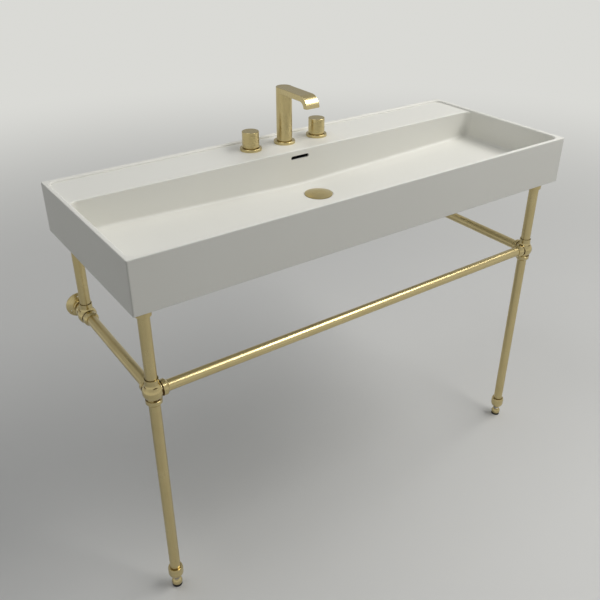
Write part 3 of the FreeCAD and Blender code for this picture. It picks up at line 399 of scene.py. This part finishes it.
def satin_brass(name, axis, middle=(0, 0, 0), spread=(0, 0, 0), turned_piece=True,
                smooth=0.24, rough=0.36, depth=0.12, paint_groove_shade=False):
    """Brushed brass under clear lacquer. The lines go round a turned piece and along a tube."""
    material, tree, where = new_material(name)
    if turned_piece:
        lined, offset = lathe_lines(tree, where, middle, spread, axis)
    else:
        lined, offset = belt_lines(tree, where, axis), where
    lines = use_group(tree, brushing, Vector=lined, Lines=2600.0)
    cloud = use_group(tree, unevenness, Vector=where, Patch_Scale=14.0, Grain_Scale=1500.0)

    mix = math_node(tree, "ADD", math_node(tree, "MULTIPLY", lines.outputs["Lines"], 0.5),
                    math_node(tree, "MULTIPLY", cloud.outputs["Patches"], 0.6))
    mask = add(tree, "ShaderNodeMapRange", Value=mix, From_Min=0.35, From_Max=0.75).outputs[0]
    colour = blend_colours(tree, mask, BRASS_LIGHT, BRASS_DEEP)
    roughness = spread_value(tree, mask, smooth, rough)
    if paint_groove_shade:
        # painted shade: the groove and mouth lines turn dark brown and rougher
        dark = use_group(tree, groove_shade, Vector=offset).outputs["Mask"]
        colour = blend_colours(tree, dark, colour, GROOVE_PAINTED_SHADE)
        roughness = math_node(tree, "MAXIMUM", roughness, math_node(tree, "MULTIPLY", dark, 0.6))
    height = math_node(tree, "ADD", lines.outputs["Height"],
                       math_node(tree, "MULTIPLY", cloud.outputs["Grain"], 0.4))
    return finish(material, colour, roughness, height, strength=depth, distance=0.0001,
                  metallic=1.0)


def moulded(name, tones, scales, roughness, strength, distance):
    """A moulded skin: two tones in soft patches, and a fine grain that roughens it."""
    material, tree, where = new_material(name)
    cloud = use_group(tree, unevenness, Vector=where, Patch_Scale=scales[0],
                      Grain_Scale=scales[1])
    colour = blend_colours(tree, cloud.outputs["Patches"], *tones)
    rough = spread_value(tree, cloud.outputs["Grain"], *roughness)
    return finish(material, colour, rough, cloud.outputs["Grain"], strength, distance)


rubber = moulded("black_rubber", [(0.012, 0.012, 0.013, 1), (0.035, 0.034, 0.033, 1)],
                 (60.0, 2400.0), (0.62, 0.88), strength=0.25, distance=0.0002)
drain_brass = satin_brass("drain_brass", "Z", (*DRAIN_PLACE, 0))
wear(drain_brass, "drain_flange", "drain_plug", "drain_nut", "drain_washer", "drain_tailpiece")
wear(rubber, "drain_gasket", "drain_plug_seal")


def build_thread_tree():
    """A screw thread: a three-sided ridge that climbs a cylinder."""
    tree = bpy.data.node_groups.new("thread_ridge", "GeometryNodeTree")
    tree.interface.new_socket("Geometry", in_out="OUTPUT", socket_type="NodeSocketGeometry")
    for label, kind in (("Place", "NodeSocketVector"), ("Radius", "NodeSocketFloat"),
                        ("Length", "NodeSocketFloat"), ("Pitch", "NodeSocketFloat"),
                        ("Ridge", "NodeSocketFloat"), ("Finish", "NodeSocketMaterial")):
        tree.interface.new_socket(label, in_out="INPUT", socket_type=kind)
    start = tree.nodes.new("NodeGroupInput").outputs
    end = tree.nodes.new("NodeGroupOutput")
    turns = math_node(tree, "DIVIDE", start["Length"], start["Pitch"])
    coil = add(tree, "GeometryNodeCurveSpiral", Resolution=48, Rotations=turns,
               Start_Radius=start["Radius"], End_Radius=start["Radius"], Height=start["Length"])
    upright = tree.nodes.new("GeometryNodeSetCurveNormal")
    upright.mode = "Z_UP"
    tree.links.new(coil.outputs[0], upright.inputs["Curve"])
    ridge = add(tree, "GeometryNodeCurvePrimitiveCircle", Resolution=4, Radius=start["Ridge"])
    swept = add(tree, "GeometryNodeCurveToMesh", Curve=upright.outputs[0],
                Profile_Curve=ridge.outputs[0], Fill_Caps=True)
    moved = add(tree, "GeometryNodeTransform", Geometry=swept.outputs[0],
                Translation=start["Place"])
    real = add(tree, "GeometryNodeRealizeInstances", Geometry=moved.outputs[0])
    finished = add(tree, "GeometryNodeSetMaterial", Geometry=real.outputs[0],
                   Material=start["Finish"])
    tree.links.new(finished.outputs[0], end.inputs[0])
    return tree


def grown(name, tree, settings, body, source=None):
    """Run a Geometry Nodes tree with these settings and keep its result as a plain mesh."""
    carrier = bpy.data.objects.new(name + "_carrier", source or bpy.data.meshes.new(name))
    bpy.context.scene.collection.objects.link(carrier)
    modifier = carrier.modifiers.new("grow", "NODES")
    modifier.node_group = tree
    for item in tree.interface.items_tree:
        if item.in_out == "INPUT" and item.name in settings:
            modifier[item.identifier] = settings[item.name]
    graph = bpy.context.evaluated_depsgraph_get()
    mesh = bpy.data.meshes.new_from_object(carrier.evaluated_get(graph), depsgraph=graph)
    carrier.modifiers.remove(modifier)
    bpy.data.objects.remove(carrier)
    mesh.name = name
    piece = bpy.data.objects.new(name, mesh)
    bpy.context.scene.collection.objects.link(piece)
    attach(piece, body)
    return piece


thread_tree = build_thread_tree()


def thread(name, x, y, low, high, radius, pitch, material, slot, body="stand"):
    """A thread round an upright piece, from one height to another."""
    grown(name, thread_tree, {
        "Place": (x, y, low), "Radius": radius, "Length": high - low, "Pitch": pitch,
        "Ridge": pitch * RIDGE_SHARE, "Finish": material}, body)


def foot_of(node):
    """The height of a CAD node's lowest point."""
    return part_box(node)[0].z


thread("drain_thread", *DRAIN_PLACE, foot_of("drain_flange") + DRAIN_THREAD_START,
       foot_of("drain_nut") - NUT_CLEAR, DRAIN_THREAD_RADIUS, DRAIN_THREAD_PITCH, drain_brass,
       "drain_brass")

# ------------------------------------------------------------------ spout
# A round brass column and a flat arm in one casting, brushed all over and bent down at its nose,
# where a plastic plate with fine holes lets the water out. A threaded shank, a washer and a nut
# hold it to the deck, over a turned base ring.

FAUCET_Y = middle_of("spout_base_ring").y
PIPE_THREAD_PITCH = 0.0018
SHANK_RADIUS = 0.015
SPOUT_THREAD_START = 0.0205         # above the shank's end, m
OUTLET_SIZE = (0.0234, 0.0064, 0.0030)
OUTLET_ROWS = 3
OUTLET_COLUMNS = 11
OUTLET_PITCH = 0.0019
OUTLET_HOLE = 0.0006                # a hole's radius
OUTLET_TURN = math.radians(175)     # it faces down, and tips with the nose

spout_brass = satin_brass("spout_brass", "Z", turned_piece=False, smooth=0.24, rough=0.34,
                          depth=0.10)
ring_brass = satin_brass("spout_ring_brass", "Z", (0, FAUCET_Y, 0), smooth=0.16, rough=0.28)
wear(spout_brass, "spout")
wear(ring_brass, "spout_base_ring", "spout_shank", "spout_washer", "spout_nut")

outlet_plastic = moulded("outlet_plastic", [(0.32, 0.32, 0.31, 1), (0.24, 0.24, 0.235, 1)],
                         (120.0, 3000.0), (0.35, 0.5), strength=0.1, distance=0.0001)


def build_outlet_tree():
    """A flat plate with rows of round holes through its thickness, turned to face the nose."""
    tree = bpy.data.node_groups.new("outlet_plate", "GeometryNodeTree")
    tree.interface.new_socket("Geometry", in_out="OUTPUT", socket_type="NodeSocketGeometry")
    for label, kind in (("Plate", "NodeSocketVector"), ("Rows", "NodeSocketInt"),
                        ("Columns", "NodeSocketInt"), ("Pitch", "NodeSocketFloat"),
                        ("Hole", "NodeSocketFloat"), ("Place", "NodeSocketVector"),
                        ("Turn", "NodeSocketVector"), ("Finish", "NodeSocketMaterial")):
        tree.interface.new_socket(label, in_out="INPUT", socket_type=kind)
    start = tree.nodes.new("NodeGroupInput").outputs
    end = tree.nodes.new("NodeGroupOutput")
    plate = add(tree, "GeometryNodeMeshCube", Size=start["Plate"])
    wide = math_node(tree, "MULTIPLY", start["Pitch"],
                     math_node(tree, "SUBTRACT", start["Columns"], 1.0))
    tall = math_node(tree, "MULTIPLY", start["Pitch"],
                     math_node(tree, "SUBTRACT", start["Rows"], 1.0))
    grid = add(tree, "GeometryNodeMeshGrid", Size_X=wide, Size_Y=tall,
               Vertices_X=start["Columns"], Vertices_Y=start["Rows"])
    punch = add(tree, "GeometryNodeMeshCylinder", Vertices=10, Radius=start["Hole"], Depth=0.02)
    holes = add(tree, "GeometryNodeInstanceOnPoints", Points=grid.outputs[0],
                Instance=punch.outputs[0])
    real_holes = add(tree, "GeometryNodeRealizeInstances", Geometry=holes.outputs[0])
    cut = tree.nodes.new("GeometryNodeMeshBoolean")
    cut.operation = "DIFFERENCE"
    tree.links.new(plate.outputs[0], cut.inputs["Mesh 1"])
    tree.links.new(real_holes.outputs[0], cut.inputs["Mesh 2"])
    moved = add(tree, "GeometryNodeTransform", Geometry=cut.outputs[0],
                Translation=start["Place"], Rotation=start["Turn"])
    real = add(tree, "GeometryNodeRealizeInstances", Geometry=moved.outputs[0])
    finished = add(tree, "GeometryNodeSetMaterial", Geometry=real.outputs[0],
                   Material=start["Finish"])
    tree.links.new(finished.outputs[0], end.inputs[0])
    return tree


outlet = grown("outlet_plate", build_outlet_tree(), {
    "Plate": OUTLET_SIZE, "Rows": OUTLET_ROWS, "Columns": OUTLET_COLUMNS, "Pitch": OUTLET_PITCH,
    "Hole": OUTLET_HOLE, "Place": tuple(middle_of("spout_aerator")),
    "Turn": (OUTLET_TURN, 0, 0), "Finish": outlet_plastic}, "stand")
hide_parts("spout_aerator")

thread("spout_thread", 0, FAUCET_Y, foot_of("spout_shank") + SPOUT_THREAD_START,
       foot_of("spout_nut") - NUT_CLEAR, SHANK_RADIUS, PIPE_THREAD_PITCH, ring_brass,
       "faucet_brass")

# ------------------------------------------------------------------ handles and valves
# Each handle is a turned brass knob on a stem that goes down through a base ring to its valve.
# The valve body is clamped to the deck like the spout, and has threaded water ends below.

SPREAD = middle_of("cold_base_ring").x  # from the spout to each handle, m
VALVE_THREAD_START = 0.0465         # above the valve's foot, m
INLET_THREAD = (0.001, 0.018)       # start and end above the valve's foot
INLET_RADIUS = 0.01048

valves = [("hot", -SPREAD), ("cold", SPREAD)]
knob_brass = satin_brass("knob_brass", "Z", (0, FAUCET_Y, 0), (SPREAD, 0, 0), smooth=0.22,
                         rough=0.32, depth=0.05)
valve_brass = satin_brass("valve_brass", "Z", (0, FAUCET_Y, 0), (SPREAD, 0, 0), smooth=0.16,
                          rough=0.28)
for side, x in valves:
    wear(knob_brass, side + "_handle")
    wear(valve_brass, side + "_stem", side + "_base_ring", side + "_valve_body", side + "_washer",
         side + "_nut")
    valve_foot = foot_of(side + "_valve_body")
    thread(side + "_shank_thread", x, FAUCET_Y, valve_foot + VALVE_THREAD_START,
           foot_of(side + "_nut") - NUT_CLEAR, SHANK_RADIUS, PIPE_THREAD_PITCH, valve_brass,
           "faucet_brass")
    thread(side + "_inlet_thread", x, FAUCET_Y, valve_foot + INLET_THREAD[0],
           valve_foot + INLET_THREAD[1], INLET_RADIUS, PIPE_THREAD_PITCH, valve_brass,
           "faucet_brass")

# ------------------------------------------------------------------ sockets under the basin
# Four turned brass cups, each with a flange let into the fireclay and held by three screws. The
# legs and the posts push up into them.

LEG_X, LEG_Y = middle_of("leg_upper_right").xy
POST_Y = middle_of("rear_post_right").y
UPRIGHTS_MIDDLE = (LEG_Y + POST_Y) / 2
UPRIGHTS_SPREAD = (LEG_X, (POST_Y - LEG_Y) / 2, 0)
SOCKET_SCREW_CIRCLE = 0.0217        # the radius that a flange's screws stand on, m
SOCKET_SCREW_ANGLES = (30, 150, 270)
SOCKET_SCREW_LEVEL = 0.8111
SOCKET_SCREW_HEAD = 0.0035          # its radius and its height

uprights = ("front_left", "front_right", "rear_left", "rear_right")
socket_brass = satin_brass("socket_brass", "Z", (0, UPRIGHTS_MIDDLE, 0), UPRIGHTS_SPREAD)
screw_brass = satin_brass("screw_brass", "Z", turned_piece=False, smooth=0.2, rough=0.4)


def key_hole_reach(angle):
    """How far the six-sided key hole of a head one unit in radius reaches at an angle."""
    corner = 0.55
    side = math.pi / 3
    return corner * math.cos(side / 2) / math.cos(angle % side - side / 2)


def make_screw_head(name, sides=20):
    """A round head one unit in radius with a six-sided key hole, standing on z = 0."""
    round_rings = [(1.0, 0.0), (1.0, 0.40), (0.93, 0.56), (0.80, 0.62)]
    key_hole_heights = [0.62, 0.15]
    angles = [2 * math.pi * step / sides for step in range(sides)]
    outlines = [[(reach, height) for angle in angles] for reach, height in round_rings]
    for height in key_hole_heights:
        outlines.append([(key_hole_reach(angle), height) for angle in angles])
    mesh = bpy.data.meshes.new(name)
    build = bmesh.new()
    made = []
    for outline in outlines:
        ring = []
        for angle, (out, height) in zip(angles, outline):
            ring.append(build.verts.new((out * math.cos(angle), out * math.sin(angle), height)))
        made.append(ring)
    for lower, upper in zip(made, made[1:]):
        for step in range(sides):
            after = (step + 1) % sides
            build.faces.new((lower[step], lower[after], upper[after], upper[step]))
    build.faces.new(list(reversed(made[0])))
    build.faces.new(made[-1])
    bmesh.ops.recalc_face_normals(build, faces=build.faces)
    build.to_mesh(mesh)
    build.free()
    return mesh


def build_screw_tree():
    """A screw head on every point, standing along that point's own direction."""
    tree = bpy.data.node_groups.new("screw_heads", "GeometryNodeTree")
    tree.interface.new_socket("Geometry", in_out="OUTPUT", socket_type="NodeSocketGeometry")
    for label, kind in (("Points", "NodeSocketGeometry"), ("Head", "NodeSocketObject"),
                        ("Head Radius", "NodeSocketFloat"), ("Head Height", "NodeSocketFloat"),
                        ("Finish", "NodeSocketMaterial")):
        tree.interface.new_socket(label, in_out="INPUT", socket_type=kind)
    start = tree.nodes.new("NodeGroupInput").outputs
    end = tree.nodes.new("NodeGroupOutput")
    head = add(tree, "GeometryNodeObjectInfo", Object=start["Head"])
    aim = tree.nodes.new("GeometryNodeInputNamedAttribute")
    aim.data_type = "FLOAT_VECTOR"
    aim.inputs["Name"].default_value = "aim"
    turn = tree.nodes.new("FunctionNodeAlignRotationToVector")
    turn.axis = "Z"
    tree.links.new(aim.outputs[0], turn.inputs["Vector"])
    size = add(tree, "ShaderNodeCombineXYZ", X=start["Head Radius"], Y=start["Head Radius"],
               Z=start["Head Height"])
    heads = add(tree, "GeometryNodeInstanceOnPoints", Points=start["Points"],
                Instance=head.outputs["Geometry"], Rotation=turn.outputs[0],
                Scale=size.outputs[0])
    real = add(tree, "GeometryNodeRealizeInstances", Geometry=heads.outputs[0])
    finished = add(tree, "GeometryNodeSetMaterial", Geometry=real.outputs[0],
                   Material=start["Finish"])
    tree.links.new(finished.outputs[0], end.inputs[0])
    return tree


screw_tree = build_screw_tree()
screw_head = bpy.data.objects.new("screw_head_source", make_screw_head("screw_head_source"))
bpy.context.scene.collection.objects.link(screw_head)


def screws(name, spots, radius, height):
    """Brass heads at these places, each given with the way it points."""
    mesh = bpy.data.meshes.new(name + "_points")
    mesh.from_pydata([tuple(place) for place, way in spots], [], [])
    aim = mesh.attributes.new("aim", "FLOAT_VECTOR", "POINT")
    for item, (place, way) in zip(aim.data, spots):
        item.vector = way
    grown(name, screw_tree, {
        "Head": screw_head, "Head Radius": radius, "Head Height": height,
        "Finish": screw_brass}, "stand", source=mesh)


socket_screws = []
for x in (-LEG_X, LEG_X):
    for y in (LEG_Y, POST_Y):
        for degrees in SOCKET_SCREW_ANGLES:
            turn = math.radians(degrees)
            spot = (x + SOCKET_SCREW_CIRCLE * math.cos(turn),
                    y + SOCKET_SCREW_CIRCLE * math.sin(turn), SOCKET_SCREW_LEVEL)
            socket_screws.append((spot, (0, 0, -1)))
screws("socket_screws", socket_screws, SOCKET_SCREW_HEAD, SOCKET_SCREW_HEAD)
for place in uprights:
    wear(socket_brass, "top_socket_" + place)

# ------------------------------------------------------------------ legs, posts and rails
# Drawn brass tube, one inch across, brushed along its length and lacquered. Each runs from seat
# to seat inside its fittings.


def tube_brass(name, axis):
    """Brass with its lines along the tube."""
    return satin_brass(name, axis, turned_piece=False, smooth=0.24, rough=0.36, depth=0.10)


upright_brass = tube_brass("upright_tube_brass", "Z")
cross_brass = tube_brass("cross_tube_brass", "X")
depth_brass = tube_brass("depth_tube_brass", "Y")
for side in ("left", "right"):
    wear(upright_brass, "leg_lower_" + side, "leg_upper_" + side, "rear_post_" + side)
    wear(depth_brass, "side_rail_" + side, "wall_stub_" + side)
wear(cross_brass, "front_rail")

# ------------------------------------------------------------------ ball fittings and lock rings
# Cast brass balls turned and polished, with shade painted as a dark line round each collar where
# the lock ring starts and round the upper mouth. Every ring is held by one small grub screw on
# its hidden side.

FORK = middle_of("front_rail").z    # the height of the balls' centres, m
BALL_RADIUS = 0.0226
RING_FROM_CENTRE = 0.0231           # a grub screw's place, out from the ball's centre
RING_REACH = 0.0176                 # and out from the tube's middle line
GRUB_RADIUS = 0.0017
GRUB_HEIGHT = 0.0014
# The painted groove shade lies in these bands and rings:
GROOVE_BAND = (0.01735, 0.00133)    # its middle and half width, out from the ball's centre
GROOVE_RADIUS = (0.0156, 0.0018)    # and the same, out from the tube's middle line
MOUTH_BAND = (0.0317, 0.0009)       # the mouth's rim, in the same way
MOUTH_RADIUS = (0.0132, 0.0007)


def build_groove_shade():
    """Painted shade: a dark line painted in the groove between a ball's collar and its lock ring,
    and in the mouth that the upper tube drops into."""
    tree, start, end = new_group("groove_shade", [("Vector", "NodeSocketVector", None)],
                                 [("Mask", "NodeSocketFloat")])
    place = start.outputs["Vector"]
    parts = split_vector(tree, place)
    centre_distance = vector_node(tree, "LENGTH", place).outputs["Value"]
    off_the_ball = math_node(tree, "GREATER_THAN", centre_distance, BALL_RADIUS)
    radii = {}
    for axis in "XYZ":
        flat = [0.0 if name == axis else 1.0 for name in "XYZ"]
        radial = vector_node(tree, "MULTIPLY", place, flat).outputs[0]
        radii[axis] = vector_node(tree, "LENGTH", radial).outputs["Value"]
    total = None
    for axis in "XYZ":
        reach = parts[axis]
        if axis == "Z":
            reach = math_node(tree, "MULTIPLY", reach, -1.0)
        else:
            reach = math_node(tree, "ABSOLUTE", reach)
        band = math_node(tree, "COMPARE", reach, *GROOVE_BAND)
        ring = math_node(tree, "COMPARE", radii[axis], *GROOVE_RADIUS)
        both = math_node(tree, "MULTIPLY", band, ring)
        total = both if total is None else math_node(tree, "MAXIMUM", total, both)
    total = math_node(tree, "MULTIPLY", total, off_the_ball)
    mouth = math_node(tree, "COMPARE", parts["Z"], *MOUTH_BAND)
    rim = math_node(tree, "COMPARE", radii["Z"], *MOUTH_RADIUS)
    total = math_node(tree, "MAXIMUM", total, math_node(tree, "MULTIPLY", mouth, rim))
    tree.links.new(total, end.inputs["Mask"])
    return tree


groove_shade = build_groove_shade()
fitting_brass = satin_brass("fitting_brass", "Z", (0, UPRIGHTS_MIDDLE, FORK), UPRIGHTS_SPREAD,
                            smooth=0.16, rough=0.26, depth=0.06, paint_groove_shade=True)
for place in uprights:
    wear(fitting_brass, "ball_fitting_" + place)
wear(fitting_brass, "front_lock_rings", "rear_lock_rings")

grub_screws = []
for sign in (-1, 1):
    ports = [(LEG_Y, (0, 0, -1), (0, 1, 0)), (LEG_Y, (-sign, 0, 0), (0, 0, -1)),
             (LEG_Y, (0, 1, 0), (0, 0, -1)), (POST_Y, (0, -1, 0), (0, 0, -1)),
             (POST_Y, (0, 1, 0), (0, 0, -1))]
    for y, along, out in ports:
        centre = Vector((LEG_X * sign, y, FORK))
        spot = centre + Vector(along) * RING_FROM_CENTRE + Vector(out) * RING_REACH
        grub_screws.append((spot, out))
screws("lock_ring_grub_screws", grub_screws, GRUB_RADIUS, GRUB_HEIGHT)
bpy.data.objects.remove(screw_head)

# ------------------------------------------------------------------ wall flanges
# Turned brass flanges, domed towards a boss that takes the stub tube, with three countersunk
# holes for the wall screws.

flange_brass = satin_brass("wall_flange_brass", "Y", (0, 0, FORK), (LEG_X, 0, 0))
wear(flange_brass, "wall_flange_left", "wall_flange_right")

# ------------------------------------------------------------------ feet
# Each leg ends in a turned brass socket. A steel stud screws up into it, carrying a brass ball on
# a rubber pad, so that the leg can be set to an uneven floor.

STUD_PITCH = 0.0015
STUD_RADIUS = 0.0073
STUD_THREAD = (0.0225, 0.0430)      # its lowest and highest point, m
STEEL_LIGHT = (0.55, 0.54, 0.52, 1)
STEEL_DEEP = (0.38, 0.37, 0.36, 1)


def stud_steel():
    """Plain bright steel with lathe lines."""
    material, tree, where = new_material("stud_steel")
    lined = lathe_lines(tree, where, (0, LEG_Y, 0), (LEG_X, 0, 0), "Z")[0]
    lines = use_group(tree, brushing, Vector=lined, Lines=1800.0)
    colour = blend_colours(tree, lines.outputs["Lines"], STEEL_LIGHT, STEEL_DEEP)
    rough = spread_value(tree, lines.outputs["Lines"], 0.22, 0.42)
    return finish(material, colour, rough, lines.outputs["Height"], strength=0.1,
                  distance=0.0001, metallic=1.0)


foot_brass = satin_brass("foot_brass", "Z", (0, LEG_Y, 0), (LEG_X, 0, 0), smooth=0.14,
                         rough=0.24)
steel = stud_steel()
for side, x in (("left", -LEG_X), ("right", LEG_X)):
    wear(foot_brass, "foot_socket_" + side, "foot_ball_" + side)
    wear(steel, "foot_stud_" + side)
    wear(rubber, "foot_pad_" + side)
    thread(side + "_stud_thread", x, LEG_Y, *STUD_THREAD, STUD_RADIUS, STUD_PITCH, steel,
           "stud_steel", side + "_foot")

# ------------------------------------------------------------------ floor, light and camera
# A plain pale floor under soft studio lamps. The camera stands to the left and in front, and
# looks down on the basin.

FLOOR_PALE = (0.70, 0.70, 0.685, 1)
FLOOR_SHADE = (0.67, 0.67, 0.655, 1)
BACKDROP_PALE = (0.70, 0.70, 0.67, 1)
STUDIO_DIM = (0.42, 0.42, 0.41, 1)  # what is mirrored from overhead and from behind
FILL_COLOUR = (0.96, 0.98, 1.0, 1)
FILL_ALL_ROUND = 0.18
FILL_BEHIND = 0.75                  # low down at the back, for the wall side
FLOOR_NEAR = 0.9                    # the floor is all floor this near the object, m
FLOOR_FAR = 4.6                     # and all backdrop this far away
FLOOR_REACH = 14.0
FLOOR_SINK = 0.0003                 # the floor lies this far under the rubber pads


def studio_rays(tree):
    """1 for a ray straight from the camera, and 1 for that or a mirrored one."""
    rays = tree.nodes.new("ShaderNodeLightPath").outputs
    mirrored = math_node(tree, "MAXIMUM", rays["Is Glossy Ray"], rays["Is Transmission Ray"])
    return rays["Is Camera Ray"], math_node(tree, "MAXIMUM", rays["Is Camera Ray"], mirrored)


def mix_shaders(tree, amount, first, second, end):
    """The first shader where the amount is 0, the second where it is 1, into the output."""
    mixed = tree.nodes.new("ShaderNodeMixShader")
    for place, value in zip(mixed.inputs, (amount, first, second)):
        tree.links.new(value, place)
    tree.links.new(mixed.outputs[0], end.inputs["Surface"])


def pale_floor():
    """A smooth pale floor that runs out into a plain backdrop of the same colour."""
    material, tree, where = new_material("pale_floor")
    cloud = use_group(tree, unevenness, Vector=where, Patch_Scale=1.3, Grain_Scale=60.0)
    shader = tree.nodes["Principled BSDF"]
    colour = blend_colours(tree, cloud.outputs["Patches"], FLOOR_PALE, FLOOR_SHADE)
    tree.links.new(colour, shader.inputs["Base Color"])
    rough = spread_value(tree, cloud.outputs["Patches"], 0.40, 0.52)
    tree.links.new(rough, shader.inputs["Roughness"])
    seen = studio_rays(tree)[1]
    away = vector_node(tree, "LENGTH", where).outputs["Value"]
    far = add(tree, "ShaderNodeMapRange", Value=away, From_Min=FLOOR_NEAR, From_Max=FLOOR_FAR)
    far.interpolation_type = "SMOOTHSTEP"
    backdrop = add(tree, "ShaderNodeEmission", Color=BACKDROP_PALE, Strength=1.0)
    mix_shaders(tree, math_node(tree, "MULTIPLY", seen, far.outputs[0]), shader.outputs[0],
                backdrop.outputs[0], tree.nodes["Material Output"])
    return material


floor_mesh = bpy.data.meshes.new("floor")
floor_mesh.from_pydata([(-FLOOR_REACH, -FLOOR_REACH, 0), (FLOOR_REACH, -FLOOR_REACH, 0),
                        (FLOOR_REACH, FLOOR_REACH, 0), (-FLOOR_REACH, FLOOR_REACH, 0)], [],
                       [(0, 1, 2, 3)])
floor = bpy.data.objects.new("floor", floor_mesh)
floor.location = (0, 0, -FLOOR_SINK)
floor_mesh.materials.append(pale_floor())
bpy.context.scene.collection.objects.link(floor)


def lamp(name, place, aim, size, power, colour):
    """A large soft lamp, so long and so wide, that points at a spot on the object."""
    data = bpy.data.lights.new(name, "AREA")
    data.shape = "RECTANGLE"
    data.size, data.size_y = size
    data.energy = power
    data.color = colour
    thing = bpy.data.objects.new(name, data)
    thing.location = place
    thing.rotation_euler = (Vector(aim) - Vector(place)).to_track_quat("-Z", "Y").to_euler()
    bpy.context.scene.collection.objects.link(thing)


lamp("key_lamp", (1.6, -1.05, 3.0), (0.1, 0, 0.7), (2.8, 0.9), 64, (1.0, 0.99, 0.97))
lamp("ceiling_lamp", (-0.9, 0.25, 3.1), (-0.4, 0.1, 0.9), (1.1, 1.1), 12, (1.0, 1.0, 1.0))

world = bpy.data.worlds.new("studio")
world.use_nodes = True
bpy.context.scene.world = world
tree = world.node_tree
tree.nodes.clear()
camera_ray, seen = studio_rays(tree)
way = split_vector(tree, tree.nodes.new("ShaderNodeTexCoord").outputs["Generated"])
upwards = add(tree, "ShaderNodeMapRange", Value=way["Z"], From_Min=0.05, From_Max=0.75)
behind = add(tree, "ShaderNodeMapRange", Value=way["Y"], From_Min=0.0, From_Max=0.7)
dim = math_node(tree, "MAXIMUM", upwards.outputs[0], behind.outputs[0])
shade = blend_colours(tree, dim, BACKDROP_PALE, STUDIO_DIM)
shade = blend_colours(tree, camera_ray, shade, BACKDROP_PALE)
strength = add(tree, "ShaderNodeMapRange", Value=way["Y"], From_Min=0.45, From_Max=0.95,
               To_Min=FILL_ALL_ROUND, To_Max=FILL_BEHIND)
fill = add(tree, "ShaderNodeBackground", Color=FILL_COLOUR, Strength=strength.outputs[0])
backdrop = add(tree, "ShaderNodeBackground", Color=shade, Strength=1.0)
mix_shaders(tree, seen, fill.outputs[0], backdrop.outputs[0],
            tree.nodes.new("ShaderNodeOutputWorld"))

camera_data = bpy.data.cameras.new("camera")
camera_data.sensor_width = 36
camera_data.lens = 43.35
camera = bpy.data.objects.new("camera", camera_data)
camera.location = (-1.0090, -1.3427, 1.5121)
camera.rotation_euler = (math.radians(59.58), 0, math.radians(-35.03))
bpy.context.scene.collection.objects.link(camera)
bpy.context.scene.camera = camera
bpy.context.scene.view_settings.view_transform = "Standard"
